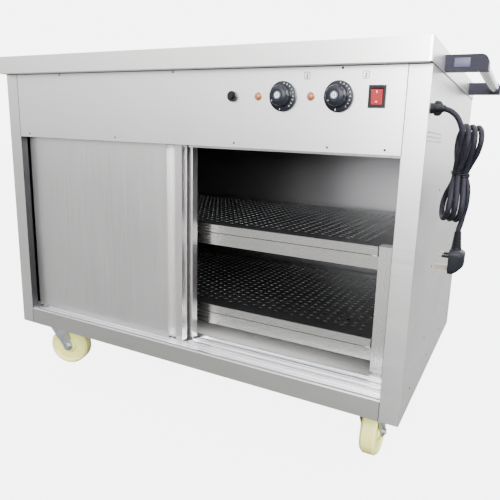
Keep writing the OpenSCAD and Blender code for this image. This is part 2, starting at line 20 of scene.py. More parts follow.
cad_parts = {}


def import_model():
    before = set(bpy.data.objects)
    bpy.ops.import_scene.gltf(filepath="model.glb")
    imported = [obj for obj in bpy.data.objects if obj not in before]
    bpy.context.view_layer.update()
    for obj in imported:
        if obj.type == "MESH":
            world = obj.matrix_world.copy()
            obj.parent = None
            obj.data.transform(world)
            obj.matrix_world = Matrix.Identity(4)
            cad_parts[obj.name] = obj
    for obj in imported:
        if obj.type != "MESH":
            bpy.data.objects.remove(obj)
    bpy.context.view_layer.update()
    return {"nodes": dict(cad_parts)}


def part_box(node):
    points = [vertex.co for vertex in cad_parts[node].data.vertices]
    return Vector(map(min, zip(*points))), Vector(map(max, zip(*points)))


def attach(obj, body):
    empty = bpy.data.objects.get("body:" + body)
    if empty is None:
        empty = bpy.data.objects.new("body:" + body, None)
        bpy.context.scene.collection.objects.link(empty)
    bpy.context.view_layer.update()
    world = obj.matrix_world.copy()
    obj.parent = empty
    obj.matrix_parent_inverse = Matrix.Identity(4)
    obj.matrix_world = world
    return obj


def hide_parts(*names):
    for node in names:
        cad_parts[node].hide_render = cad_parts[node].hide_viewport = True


log = logging.getLogger("hot_cupboard")
MM = 0.001
Box = tuple[Vector, Vector]
Fields = Mapping[Any, Any]
Tree = bpy.types.NodeTree
Node = bpy.types.Node
Socket = bpy.types.NodeSocket
Piece = bpy.types.Object
Shape = bmesh.types.BMesh
Profile = Sequence[tuple[float, float]]
Spot = tuple[float, float, float]


class Grain(Enum):
    """The way that a sheet's brush marks run."""

    LEVEL = "level"
    UPRIGHT = "upright"


class Head(Enum):
    """The shapes of fastener head on the cupboard."""

    RIVET = "rivet"
    PAN = "pan"
    HEX = "hex"


def linear(hex_colour: str) -> tuple[float, float, float, float]:
    """Turns an sRGB hex colour into linear light.

    Args:
        hex_colour: six hex digits, with or without a leading hash.

    Returns:
        Red, green, blue and an alpha of one.
    """
    digits = hex_colour.lstrip("#")
    parts = [int(digits[i : i + 2], 16) / 255 for i in (0, 2, 4)]
    light = [c / 12.92 if c <= 0.04045 else ((c + 0.055) / 1.055) ** 2.4 for c in parts]
    return (light[0], light[1], light[2], 1.0)


def scaled(colour: Sequence[float], factor: float, lift: float = 0.0) -> tuple[float, ...]:
    """A linear colour made darker or lighter.

    Args:
        colour: the linear colour.
        factor: what its red, green and blue are multiplied by.
        lift: what is then added to them.

    Returns:
        The new colour, with an alpha of one.
    """
    return tuple(min(1.0, c * factor + lift) for c in colour[:3]) + (1.0,)


def add_node(
    tree: Tree, kind: str, settings: Fields | None = None, links: Fields | None = None
) -> Node:
    """Adds a node to a tree, with its settings and the sockets that feed it.

    Args:
        tree: the node tree.
        kind: the node's type name.
        settings: the node's own properties by name, and its inputs' values by name or number.
        links: an output socket for each fed input, by the input's name or number.

    Returns:
        The new node.
    """
    node = tree.nodes.new(kind)
    for key, value in (settings or {}).items():
        if isinstance(key, str) and hasattr(node, key):
            setattr(node, key, value)
        else:
            node.inputs[key].default_value = value
    for key, source in (links or {}).items():
        tree.links.new(source, node.inputs[key])
    return node


# Finishes


@dataclass(frozen=True)
class Finish:
    """A finish that every other one starts from: a named shader in the object's coordinates."""

    name: str
    colour: str
    roughness: float = 0.4
    metallic: float = 0.0

    def material(self) -> bpy.types.Material:
        """Builds the material, or hands back the one that is already built.

        Returns:
            The material.
        """
        ready = bpy.data.materials.get(self.name)
        if ready is not None:
            return ready
        mat = bpy.data.materials.new(self.name)
        mat.use_nodes = True
        tree = mat.node_tree
        tree.nodes.clear()
        shader = add_node(
            tree,
            "ShaderNodeBsdfPrincipled",
            {
                "Base Color": linear(self.colour),
                "Roughness": self.roughness,
                "Metallic": self.metallic,
            },
        )
        add_node(tree, "ShaderNodeOutputMaterial", links={"Surface": shader.outputs[0]})
        place = add_node(tree, "ShaderNodeTexCoord")
        self.surface(tree, shader, place.outputs["Object"], place.outputs["Normal"])
        return mat

    def surface(self, tree: Tree, shader: Node, place: Socket, facing: Socket) -> None:
        """Adds the finish's own detail to the shader. The plain finish has none."""

    def tone(
        self,
        tree: Tree,
        shader: Node,
        pattern: Socket,
        low: str,
        high: str,
        rough: tuple[float, float],
    ) -> Node:
        """Lets one pattern move the colour between two tones, and the roughness between two values.

        Args:
            tree: the material's tree.
            shader: its main shader.
            pattern: a socket that gives 0 to 1.
            low: the colour where the pattern is low.
            high: the colour where it is high.
            rough: the roughness at each end.

        Returns:
            The node that mixes the colours.
        """
        spread = add_node(
            tree,
            "ShaderNodeMapRange",
            {"From Min": 0.3, "From Max": 0.7, "To Min": 0.0, "To Max": 1.0},
            {"Value": pattern},
        )
        mix = add_node(
            tree,
            "ShaderNodeMix",
            {"data_type": "RGBA", 6: linear(low), 7: linear(high)},
            {0: spread.outputs[0]},
        )
        tree.links.new(mix.outputs[2], shader.inputs["Base Color"])
        gloss = add_node(
            tree,
            "ShaderNodeMapRange",
            {"From Min": 0.3, "From Max": 0.7, "To Min": rough[0], "To Max": rough[1]},
            {"Value": pattern},
        )
        tree.links.new(gloss.outputs[0], shader.inputs["Roughness"])
        return mix

    def relief(
        self,
        tree: Tree,
        shader: Node,
        height: Socket,
        depth_mm: float,
        strength: float = 0.3,
    ) -> None:
        """Raises the surface by a pattern of a real depth.

        Args:
            tree: the material's tree.
            shader: its main shader.
            height: a socket that gives the height.
            depth_mm: the real depth.
            strength: how strongly it shows, from 0 to 1.
        """
        bump = add_node(
            tree,
            "ShaderNodeBump",
            {"Strength": strength, "Distance": depth_mm * MM},
            {"Height": height},
        )
        tree.links.new(bump.outputs[0], shader.inputs["Normal"])


@dataclass(frozen=True)
class BrushedStainless(Finish):
    """304 stainless sheet with a belt-brushed finish: long fine lines that smear every highlight.

    The real lines are about 0.1 mm apart, too fine to show, so they are drawn line_mm apart.
    """

    shade: str = "#B9B8B6"
    grain: Grain = Grain.LEVEL
    line_mm: float = 2.2
    run_mm: float = 160.0
    metallic: float = 1.0
    roughness: float = 0.33
    # Faces turned the inside way get a darker colour, painted as the shade inside the cupboard.
    inside: tuple[float, float, float] | None = None
    inside_painted_shade: str = "#3A3A3C"

    def surface(self, tree: Tree, shader: Node, place: Socket, facing: Socket) -> None:
        """Draws the brushed lines along the sheet, with faint handling marks over them, and paints
        shade on the faces turned inwards.

        Args:
            tree: the material's tree.
            shader: its main shader.
            place: the object's coordinates.
            facing: the surface's direction.
        """
        across, along = 1 / (self.line_mm * MM), 1 / (self.run_mm * MM)
        if self.grain is Grain.UPRIGHT:
            scale = add_node(
                tree, "ShaderNodeCombineXYZ", {0: across, 1: across, 2: along}
            ).outputs[0]
        else:
            split = add_node(tree, "ShaderNodeSeparateXYZ", links={0: facing})
            size = add_node(
                tree, "ShaderNodeMath", {"operation": "ABSOLUTE"}, {0: split.outputs[0]}
            )
            side = add_node(
                tree, "ShaderNodeMath", {"operation": "GREATER_THAN", 1: 0.7}, {0: size.outputs[0]}
            )
            pick = add_node(
                tree,
                "ShaderNodeMix",
                {"data_type": "VECTOR", 4: (along, across, across), 5: (across, along, across)},
                {0: side.outputs[0]},
            )
            scale = pick.outputs[1]
        lines_at = add_node(
            tree, "ShaderNodeVectorMath", {"operation": "MULTIPLY"}, {0: place, 1: scale}
        )
        lines = add_node(
            tree,
            "ShaderNodeTexNoise",
            {"Scale": 1.0, "Detail": 3.0},
            {"Vector": lines_at.outputs[0]},
        )
        marks = add_node(
            tree, "ShaderNodeTexNoise", {"Scale": 7.0, "Detail": 2.0}, {"Vector": place}
        )
        both = add_node(
            tree,
            "ShaderNodeMix",
            {"data_type": "FLOAT", 0: 0.3},
            {2: lines.outputs[0], 3: marks.outputs[0]},
        )
        low, high = self.roughness - 0.05, self.roughness + 0.07
        mix = self.tone(tree, shader, both.outputs[0], self.shade, self.colour, (high, low))
        # Painted shade: faces turned inwards take the darker inside colour.
        if self.inside is not None:
            turn = add_node(
                tree,
                "ShaderNodeVectorMath",
                {"operation": "DOT_PRODUCT", 1: self.inside},
                {0: facing},
            )
            inner = add_node(
                tree,
                "ShaderNodeMath",
                {"operation": "GREATER_THAN", 1: 0.5},
                {0: turn.outputs["Value"]},
            )
            dark = add_node(
                tree,
                "ShaderNodeMix",
                {"data_type": "RGBA", 7: linear(self.inside_painted_shade)},
                {0: inner.outputs[0], 6: mix.outputs[2]},
            )
            tree.links.new(dark.outputs[2], shader.inputs["Base Color"])
        self.relief(tree, shader, lines.outputs[0], 0.03, 0.04)


@dataclass(frozen=True)
class MillAluminium(Finish):
    """Extruded 6063 aluminium as it leaves the die: bright, with straight drawn lines along X."""

    metallic: float = 1.0
    roughness: float = 0.24
    shade: str = "#C3C4C6"

    def surface(self, tree: Tree, shader: Node, place: Socket, facing: Socket) -> None:
        """Draws the die lines along the extrusion.

        Args:
            tree: the material's tree.
            shader: its main shader.
            place: the object's coordinates.
            facing: the surface's direction.
        """
        at = add_node(
            tree,
            "ShaderNodeVectorMath",
            {"operation": "MULTIPLY", 1: (5.0, 420.0, 420.0)},
            {0: place},
        )
        lines = add_node(
            tree, "ShaderNodeTexNoise", {"Scale": 1.0, "Detail": 2.0}, {"Vector": at.outputs[0]}
        )
        self.tone(tree, shader, lines.outputs[0], self.shade, self.colour, (0.32, 0.2))
        self.relief(tree, shader, lines.outputs[0], 0.03, 0.15)


@dataclass(frozen=True)
class ZincPlate(Finish):
    """Pressed steel with bright zinc plating: pale, faintly blue, with a soft mottle."""

    metallic: float = 1.0
    roughness: float = 0.36
    shade: str = "#8E9499"

    def surface(self, tree: Tree, shader: Node, place: Socket, facing: Socket) -> None:
        """Mottles the plating at about 12 mm, with a fine grain over it.

        Args:
            tree: the material's tree.
            shader: its main shader.
            place: the object's coordinates.
            facing: the surface's direction.
        """
        mottle = add_node(
            tree,
            "ShaderNodeTexNoise",
            {"Scale": 80.0, "Detail": 4.0, "Roughness": 0.6},
            {"Vector": place},
        )
        self.tone(tree, shader, mottle.outputs[0], self.shade, self.colour, (0.46, 0.3))
        self.relief(tree, shader, mottle.outputs[0], 0.05, 0.2)


@dataclass(frozen=True)
class Moulded(Finish):
    """An injection-moulded polymer, such as ABS or filled nylon, with a light spark texture."""

    texture_mm: float = 0.9
    depth_mm: float = 0.04
    swing: float = 0.06
    coat: float = 0.0
    shine: float = 0.5

    def surface(self, tree: Tree, shader: Node, place: Socket, facing: Socket) -> None:
        """Adds the mould's spark texture, a slow drift in tone, and any gloss coat.

        Args:
            tree: the material's tree.
            shader: its main shader.
            place: the object's coordinates.
            facing: the surface's direction.
        """
        shader.inputs["Coat Weight"].default_value = self.coat
        shader.inputs["Coat Roughness"].default_value = 0.12
        shader.inputs["Specular IOR Level"].default_value = self.shine
        spark = add_node(
            tree,
            "ShaderNodeTexNoise",
            {"Scale": 1 / (self.texture_mm * MM), "Detail": 2.0},
            {"Vector": place},
        )
        drift = add_node(
            tree, "ShaderNodeTexNoise", {"Scale": 35.0, "Detail": 2.0}, {"Vector": place}
        )
        base = linear(self.colour)
        dim, lit = scaled(base, 1 - 4 * self.swing), scaled(base, 1 + 4 * self.swing)
        mix = add_node(
            tree, "ShaderNodeMix", {"data_type": "RGBA", 6: dim, 7: lit}, {0: drift.outputs[0]}
        )
        tree.links.new(mix.outputs[2], shader.inputs["Base Color"])
        gloss = add_node(
            tree,
            "ShaderNodeMapRange",
            {"To Min": self.roughness - 0.06, "To Max": self.roughness + 0.08},
            {"Value": drift.outputs[0]},
        )
        tree.links.new(gloss.outputs[0], shader.inputs["Roughness"])
        self.relief(tree, shader, spark.outputs[0], self.depth_mm)


@dataclass(frozen=True)
class CastNylon(Moulded):
    """Cast nylon wheel: cream, waxy and slightly see-through, with scuffs where it rolls."""

    scuff: str = "#A39F78"
    hub: tuple[float, float, float] = (0.0, 0.0, 0.0)
    tread_r: float = 0.047

    def surface(self, tree: Tree, shader: Node, place: Socket, facing: Socket) -> None:
        """Keeps the moulded texture and dirties the tread a little.

        Args:
            tree: the material's tree.
            shader: its main shader.
            place: the object's coordinates.
            facing: the surface's direction.
        """
        super().surface(tree, shader, place, facing)
        shader.inputs["Subsurface Weight"].default_value = 0.12
        shader.inputs["Subsurface Radius"].default_value = (0.006, 0.005, 0.002)
        reach = add_node(
            tree, "ShaderNodeVectorMath", {"operation": "DISTANCE", 1: self.hub}, {0: place}
        )
        edge = add_node(
            tree,
            "ShaderNodeMapRange",
            {"From Min": self.tread_r, "From Max": self.tread_r + 0.006, "To Max": 0.55},
            {"Value": reach.outputs["Value"]},
        )
        grime = add_node(
            tree,
            "ShaderNodeTexNoise",
            {"Scale": 160.0, "Detail": 5.0, "Roughness": 0.7},
            {"Vector": place},
        )
        spots = add_node(
            tree,
            "ShaderNodeMapRange",
            {"From Min": 0.5, "From Max": 0.72},
            {"Value": grime.outputs[0]},
        )
        amount = add_node(
            tree,
            "ShaderNodeMath",
            {"operation": "MULTIPLY"},
            {0: edge.outputs[0], 1: spots.outputs[0]},
        )
        clean = shader.inputs["Base Color"].links[0].from_socket
        mix = add_node(
            tree,
            "ShaderNodeMix",
            {"data_type": "RGBA", 7: linear(self.scuff)},
            {0: amount.outputs[0], 6: clean},
        )
        tree.links.new(mix.outputs[2], shader.inputs["Base Color"])


@dataclass(frozen=True)
class RubberSheath(Finish):
    """Rubber cord sheath: matt blue-black, with a little dusty bloom that dulls its highlights."""

    bloom: str = "#1A1A21"

    def surface(self, tree: Tree, shader: Node, place: Socket, facing: Socket) -> None:
        """Adds the dusty bloom and the pebbled skin.

        Args:
            tree: the material's tree.
            shader: its main shader.
            place: the object's coordinates.
            facing: the surface's direction.
        """
        shader.inputs["Specular IOR Level"].default_value = 0.08
        dust = add_node(
            tree,
            "ShaderNodeTexNoise",
            {"Scale": 260.0, "Detail": 4.0, "Roughness": 0.65},
            {"Vector": place},
        )
        self.tone(tree, shader, dust.outputs[0], self.colour, self.bloom, (0.42, 0.6))
        self.relief(tree, shader, dust.outputs[0], 0.1, 0.3)


@dataclass(frozen=True)
class TintedLens(Finish):
    """Clear tinted polycarbonate over a dark cavity: saturated and glossy, with a weak painted
    glow.
    """

    glow: float = 0.0
    facet_mm: float = 1.6

    def surface(self, tree: Tree, shader: Node, place: Socket, facing: Socket) -> None:
        """Adds the diffusing facets moulded behind the lens.

        Args:
            tree: the material's tree.
            shader: its main shader.
            place: the object's coordinates.
            facing: the surface's direction.
        """
        shader.inputs["Coat Weight"].default_value = 0.7
        shader.inputs["Coat Roughness"].default_value = 0.05
        shader.inputs["Subsurface Weight"].default_value = 0.15
        shader.inputs["Subsurface Radius"].default_value = (0.004, 0.002, 0.001)
        # Painted glow: the emission makes the part seem lit, though it is not switched on.
        shader.inputs["Emission Color"].default_value = linear(self.colour)
        shader.inputs["Emission Strength"].default_value = self.glow
        cells = add_node(
            tree, "ShaderNodeTexVoronoi", {"Scale": 1 / (self.facet_mm * MM)}, {"Vector": place}
        )
        base = linear(self.colour)
        deep = scaled(base, 0.6)
        mix = add_node(
            tree, "ShaderNodeMix", {"data_type": "RGBA", 6: base, 7: deep}, {0: cells.outputs[0]}
        )
        tree.links.new(mix.outputs[2], shader.inputs["Base Color"])
        self.relief(tree, shader, cells.outputs[0], 0.1, 0.2)


@dataclass(frozen=True)
class HeatedSheath(Finish):
    """Incoloy element sheath after years of heat: brown and blue-grey temper bands along it."""

    metallic: float = 0.9
    roughness: float = 0.45

    def surface(self, tree: Tree, shader: Node, place: Socket, facing: Socket) -> None:
        """Bands the temper colours along the element.

        Args:
            tree: the material's tree.
            shader: its main shader.
            place: the object's coordinates.
            facing: the surface's direction.
        """
        bands = add_node(
            tree, "ShaderNodeTexNoise", {"Scale": 22.0, "Detail": 3.0}, {"Vector": place}
        )
        self.tone(tree, shader, bands.outputs[0], "#3B2F2A", self.colour, (0.55, 0.38))
        self.relief(tree, shader, bands.outputs[0], 0.05, 0.2)


@dataclass(frozen=True)
class Ink(Finish):
    """Screen-printed ink: flat, thin and a touch uneven at its edges."""

    def surface(self, tree: Tree, shader: Node, place: Socket, facing: Socket) -> None:
        """Breaks the ink up a little.

        Args:
            tree: the material's tree.
            shader: its main shader.
            place: the object's coordinates.
            facing: the surface's direction.
        """
        wear = add_node(
            tree, "ShaderNodeTexNoise", {"Scale": 900.0, "Detail": 2.0}, {"Vector": place}
        )
        base = linear(self.colour)
        worn = scaled(base, 0.8, 0.03)
        mix = add_node(
            tree, "ShaderNodeMix", {"data_type": "RGBA", 6: base, 7: worn}, {0: wear.outputs[0]}
        )
        tree.links.new(mix.outputs[2], shader.inputs["Base Color"])


@dataclass(frozen=True)
class StudioFloor(Finish):
    """A seamless painted studio floor: almost white to the eye, and a soft grey in the steel."""

    bright: float = 5.5

    def surface(self, tree: Tree, shader: Node, place: Socket, facing: Socket) -> None:
        """Lifts the floor towards white where it is seen directly.

        Args:
            tree: the material's tree.
            shader: its main shader.
            place: the object's coordinates.
            facing: the surface's direction.
        """
        path = add_node(tree, "ShaderNodeLightPath")
        lift = add_node(
            tree,
            "ShaderNodeMath",
            {"operation": "MULTIPLY", 1: self.bright},
            {0: path.outputs["Is Camera Ray"]},
        )
        shader.inputs["Emission Color"].default_value = (1.0, 1.0, 1.0, 1.0)
        tree.links.new(lift.outputs[0], shader.inputs["Emission Strength"])


# Sheet steels: the grain runs level on the shell and upright on the doors and legs, so each panel
# catches the light in its own streaks; the inner ones get darker colours as painted shade.
STEEL_PALE = BrushedStainless("Stainless 304 sheet, level brushed", "#EDECEA", shade="#E3E2E0")
STEEL_DOOR = BrushedStainless(
    "Stainless 430 door sheet, upright brushed", "#DEDCDB", shade="#D4D2D1", grain=Grain.UPRIGHT
)
STEEL_RAIL = BrushedStainless("Stainless 304 rail, level brushed", "#CBCBC7", shade="#BFBFBB")
STEEL_RACK = BrushedStainless(
    "Stainless 304 rack section, bright", "#CDCCC9", shade="#BAB9B6", roughness=0.24
)
STEEL_LEG = BrushedStainless(
    "Stainless 304 rack leg, bright",
    "#E0DFDC",
    shade="#C9C8C5",
    roughness=0.26,
    grain=Grain.UPRIGHT,
)
# Painted shade: the lining, the door liners and the shelves are darker because they sit in the
# cupboard's shade.
STEEL_LINING_SHADED = BrushedStainless(
    "Stainless 430 lining, heat dulled", "#8C8C8E", shade="#747476", roughness=0.42
)
STEEL_LINER_SHADED = BrushedStainless(
    "Stainless 430 door liner, dull", "#77777A", shade="#636366", roughness=0.4, grain=Grain.UPRIGHT
)
STEEL_SHELF_SHADED = BrushedStainless(
    "Perforated stainless shelf, heat darkened", "#7A7A7C", shade="#646466", roughness=0.34
)
# The polished tube gives one sharp highlight along its length.
STEEL_TUBE = BrushedStainless(
    "Stainless handle tube, polished", "#E6E6E8", shade="#D4D4D7", roughness=0.16, run_mm=400.0
)
# Bright extruded tracks, with die lines that break the highlight into fine stripes.
ALUMINIUM = MillAluminium("Aluminium 6063 track, mill finish", "#E6E6E9")
# Zinc and nickel plate: bluish on the castors, brighter on fasteners, straw coloured on the pins.
ZINC = ZincPlate("Zinc plated castor steel", "#C9CFD2")
BRIGHT_ZINC = ZincPlate("Zinc plated fastener", "#B9BCBE", roughness=0.3, shade="#7E8082")
BRASS = ZincPlate("Nickel plated brass pin", "#A8A294", roughness=0.3, shade="#8F8778")
# Black mouldings, told apart by their sheen: glossy knobs, satin switch, matt gland and plug.
PHENOLIC = Moulded("Phenolic knob, moulded", "#12141A", roughness=0.3, shine=0.2)
ABS_BLACK = Moulded("Black ABS switch moulding", "#0B0C0F", roughness=0.36, shine=0.22)
NYLON_BLACK = Moulded(
    "Black nylon gland moulding", "#0B0C0F", roughness=0.45, texture_mm=0.6, shine=0.12
)
DARK_RIVET = Moulded("Blackened rivet head", "#141417", shine=0.3)
# A black sheet set just behind the vent's slots, painted as the shade behind them.
VENT_SHADE_SHEET = Moulded("Black vent mesh", "#0A0A0B", shine=0.1)
# The same dark material paints the shadow line under the worktop's lip.
SEALANT_AND_SHADOW = Moulded("Dark joint sealant", "#1A1A1C", shine=0.1)
PRINTED_CAP = Moulded("Grey printed cap", "#3E4350", roughness=0.38, coat=0.3)
# The handle's mouldings lean to violet, and their smoked insets are a step paler; the pale top
# pieces are painted highlights.
HANDLE_NYLON = Moulded("Glass-filled nylon handle bracket", "#15141F", roughness=0.36, shine=0.1)
INSET_AND_HIGHLIGHT_PLASTIC = Moulded("Smoked inset plastic", "#3C3C50", roughness=0.34, shine=0.2)
PLUG_PVC = Moulded(
    "Moulded PVC plug", "#0E0F13", roughness=0.42, texture_mm=1.1, depth_mm=0.08, shine=0.1
)
IVORY = Moulded("Ivory polyamide terminal strip", "#D9D4C4", roughness=0.5)
FLASH = Moulded("Nylon flash line", "#A9A680", roughness=0.5)
# The cord's bloom makes it read soft and dry beside the hard plug.
CORD_RUBBER = RubberSheath("Rubber cord sheath", "#0D0D12", roughness=0.5)
# Lenses: faceted behind, so they sparkle; lens, rim and rocker have a painted glow that makes them
# seem lit.
AMBER = TintedLens("Amber polycarbonate lamp lens", "#8A5026", glow=0.05)
AMBER_RIM = TintedLens("Amber lamp rim", "#9A5A2A", glow=0.12)
RED = TintedLens("Red polycarbonate rocker", "#8C0511", glow=0.06)
# Temper colours tell at a glance that the element runs hot.
ELEMENT = HeatedSheath("Heat stained element sheath", "#6E675F")
# Printed marks: flat, with none of the sheen of the plastic and steel under them.
INK_WHITE = Ink("White dial ink", "#E8EAEE", roughness=0.55)
INK_GREY = Ink("Grey panel ink", "#1E1F24", roughness=0.55)


# Shapes


def crossing(points: Sequence[Vector], i: int, t: float) -> Vector:
    """The point a fraction t along span i of the smooth curve through the points.

    Args:
        points: the points.
        i: the span's number.
        t: how far along the span, from 0 to 1.

    Returns:
        The point.
    """
    last = len(points) - 1
    a, b, c, d = (points[max(0, min(last, i + k))] for k in (-1, 0, 1, 2))
    return 0.5 * (
        2 * b + (c - a) * t + (2 * a - 5 * b + 4 * c - d) * t**2 + (3 * b - a - 3 * c + d) * t**3
    )


def smooth_route(points: Sequence[Vector], spacing: float) -> list[Vector]:
    """Runs a smooth curve through the points and marks it off evenly.

    Args:
        points: the points that the curve passes through.
        spacing: the distance between the marks.

    Returns:
        Points evenly spaced along the curve, both ends included.
    """
    parts = 24
    fine = [crossing(points, i, k / parts) for i in range(len(points) - 1) for k in range(parts)]
    fine.append(points[-1].copy())
    total = sum((b - a).length for a, b in zip(fine, fine[1:]))
    count = max(2, round(total / spacing))
    step, out, walked, goal = total / count, [fine[0].copy()], 0.0, total / count
    for a, b in zip(fine, fine[1:]):
        span = (b - a).length
        while span > 0 and walked + span >= goal - 1e-9 and len(out) < count:
            out.append(a.lerp(b, (goal - walked) / span))
            goal += step
        walked += span
    out.append(fine[-1].copy())
    return out


def length_of(points: Sequence[Vector]) -> float:
    """The length of a line through the points."""
    return sum((b - a).length for a, b in zip(points, points[1:]))


def mesh_piece(name: str, shape: Shape, finish: Finish, smooth: float | None = 35.0) -> Piece:
    """Turns a mesh under construction into a finished piece at the origin.

    Args:
        name: the piece's name.
        shape: the mesh; it is freed.
        finish: what the piece is made of.
        smooth: the angle in degrees below which an edge is smooth, or None for flat faces.

    Returns:
        The new object, in the scene.
    """
    bmesh.ops.remove_doubles(shape, verts=shape.verts, dist=1e-6)
    bmesh.ops.recalc_face_normals(shape, faces=shape.faces)
    if smooth is not None:
        for face in shape.faces:
            face.smooth = True
        for edge in shape.edges:
            edge.smooth = edge.is_manifold and edge.calc_face_angle(0.0) < math.radians(smooth)
    data = bpy.data.meshes.new(name)
    shape.to_mesh(data)
    shape.free()
    data.materials.append(finish.material())
    return new_object(name, data)


def curve_piece(name: str, points: Sequence[Vector], radius: float, finish: Finish) -> Piece:
    """A round cord or wire along a line of points, as a curve of one open spline.

    Args:
        name: the piece's name.
        points: its centre line.
        radius: its radius.
        finish: what it is made of.

    Returns:
        The new curve object.
    """
    data = bpy.data.curves.new(name, "CURVE")
    data.dimensions = "3D"
    data.bevel_depth = radius
    data.bevel_resolution = 3
    data.use_fill_caps = True
    spline = data.splines.new("POLY")
    spline.points.add(len(points) - 1)
    for mark, point in zip(spline.points, points):
        mark.co = (*point, 1.0)
    data.materials.append(finish.material())
    return new_object(name, data)


def plain_mesh(piece: Piece) -> Piece:
    """Applies a piece's modifiers, or its curve's bevel, and leaves a plain mesh in its place.

    Args:
        piece: the piece; it is removed.

    Returns:
        The plain mesh that takes its place and name.
    """
    bpy.context.view_layer.update()
    seen = piece.evaluated_get(bpy.context.evaluated_depsgraph_get())
    data = bpy.data.meshes.new_from_object(seen)
    name = piece.name
    bpy.data.objects.remove(piece, do_unlink=True)
    data.name = name
    return new_object(name, data)


def add_box(shape: Shape, low: Sequence[float], high: Sequence[float]) -> list[bmesh.types.BMVert]:
    """Adds a box between two corners to a mesh.

    Args:
        shape: the mesh to add to.
        low: the lowest corner.
        high: the highest corner.

    Returns:
        The box's corners.
    """
    size = [b - a for a, b in zip(low, high)]
    middle = [(a + b) / 2 for a, b in zip(low, high)]
    place = Matrix.Translation(middle) @ Matrix.Diagonal((*size, 1.0))
    return bmesh.ops.create_cube(shape, size=1.0, matrix=place)["verts"]


def soften(shape: Shape, width: float, segments: int = 2, angle: float = 30.0) -> None:
    """Rounds every edge of a mesh that is sharper than an angle in degrees.

    Args:
        shape: the mesh.
        width: how far in the rounding starts.
        segments: the number of faces across a rounding.
        angle: the angle in degrees.
    """
    edges = [
        e for e in shape.edges if e.is_manifold and e.calc_face_angle(0.0) > math.radians(angle)
    ]
    bmesh.ops.bevel(shape, geom=edges, offset=width, segments=segments, profile=0.5, affect="EDGES")


def circle(place: Matrix, radius: float, height: float, count: int) -> list[Vector]:
    """The points of a circle about local Z.

    Args:
        place: moves the circle from its own axes into the row frame.
        radius: its radius.
        height: its height along local Z.
        count: the number of points.

    Returns:
        The points, from local X round.
    """
    angles = (2 * math.pi * k / count for k in range(count))
    return [place @ Vector((radius * math.cos(a), radius * math.sin(a), height)) for a in angles]


def bridge(shape: Shape, rings: Sequence[Sequence[bmesh.types.BMVert]]) -> None:
    """Adds the faces between neighbouring rings of points.

    Args:
        shape: the mesh to add to.
        rings: rings of as many points each, or of one point where the form closes on its axis.
    """
    for a, b in zip(rings, rings[1:]):
        sides = max(len(a), len(b))
        for k in range(sides):
            j = (k + 1) % sides
            corners = [a[k % len(a)], a[j % len(a)], b[j % len(b)], b[k % len(b)]]
            unique = list(dict.fromkeys(corners))
            if len(unique) > 2:
                shape.faces.new(unique)


def add_turned(
    shape: Shape,
    profile: Profile,
    place: Matrix,
    sides: int = 48,
    wave: Callable[[float, int], float] | None = None,
    unit: float = MM,
) -> None:
    """Adds a lathe-turned form about local Z, closed at both ends.

    Args:
        shape: the mesh to add to.
        profile: (radius, height) pairs, from one end on the axis to the other.
        place: moves the form from its own axes into the row frame.
        sides: the number of faces round it.
        wave: changes a radius, given the angle and the profile point's number.
        unit: the length that the profile counts in.
    """
    rings: list[list[bmesh.types.BMVert]] = []
    for number, (radius, height) in enumerate(profile):
        if radius == 0:
            rings.append([shape.verts.new(place @ Vector((0, 0, height * unit)))])
            continue
        ring = []
        for k in range(sides):
            angle = 2 * math.pi * k / sides
            r = radius * unit * (1.0 if wave is None else wave(angle, number))
            spot = Vector((r * math.cos(angle), r * math.sin(angle), height * unit))
            ring.append(shape.verts.new(place @ spot))
        rings.append(ring)
    bridge(shape, rings)


def add_hoop(shape: Shape, profile: Profile, place: Matrix, sides: int) -> None:
    """Adds a hoop about local Z.

    Args:
        shape: the mesh to add to.
        profile: the (radius, height) pairs of its closed section, in metres.
        place: moves the hoop from its own axes into the row frame.
        sides: the number of faces round it.
    """
    rings = [[shape.verts.new(p) for p in circle(place, r, z, sides)] for r, z in profile]
    bridge(shape, rings + rings[:1])


def add_plate(
    shape: Shape, outline: Sequence[Vector], offset: Vector, hole: Sequence[Vector] | None = None
) -> None:
    """Adds a flat plate from an outline, perhaps with a hole of as many points.

    Args:
        shape: the mesh to add to.
        outline: the plate's outline.
        offset: from one face to the other.
        hole: the hole's outline, if there is one.
    """
    top = [shape.verts.new(p + offset) for p in outline]
    low = [shape.verts.new(p) for p in outline]
    bridge(shape, [low, top])
    if hole is None:
        shape.faces.new(top)
        shape.faces.new(list(reversed(low)))
        return
    top_in = [shape.verts.new(p + offset) for p in hole]
    low_in = [shape.verts.new(p) for p in hole]
    bridge(shape, [top, top_in, low_in, low])


def rounded(width: float, height: float, r: float, steps: int = 4) -> list[tuple[float, float]]:
    """The outline of a rectangle with round corners, about its own middle.

    Args:
        width: the width.
        height: the height.
        r: the corners' radius.
        steps: the number of steps round each corner.

    Returns:
        The outline's points.
    """
    out = []
    for number, (sx, sy) in enumerate(((1, 1), (-1, 1), (-1, -1), (1, -1))):
        for k in range(steps + 1):
            angle = math.pi / 2 * (number + k / steps)
            x = sx * (width / 2 - r) + r * math.cos(angle)
            y = sy * (height / 2 - r) + r * math.sin(angle)
            out.append((x, y))
    return out


def middle(box: Box) -> Vector:
    """The middle of a box."""
    return (Vector(box[0]) + Vector(box[1])) / 2


def flat(place: Matrix, outline: Profile, height: float = 0.0) -> list[Vector]:
    """Lays an outline in millimetres on a plane across local Z.

    Args:
        place: moves the plane from its own axes into the row frame.
        outline: the outline's points.
        height: the plane's height along local Z, in millimetres.

    Returns:
        The points in the row frame.
    """
    return [place @ (Vector((x, y, height)) * MM) for x, y in outline]


def new_object(name: str, data: bpy.types.ID) -> Piece:
    """Adds an object that shows some data to the scene.

    Args:
        name: the object's name.
        data: what it shows.

    Returns:
        The object.
    """
    piece = bpy.data.objects.new(name, data)
    bpy.context.scene.collection.objects.link(piece)
    return piece


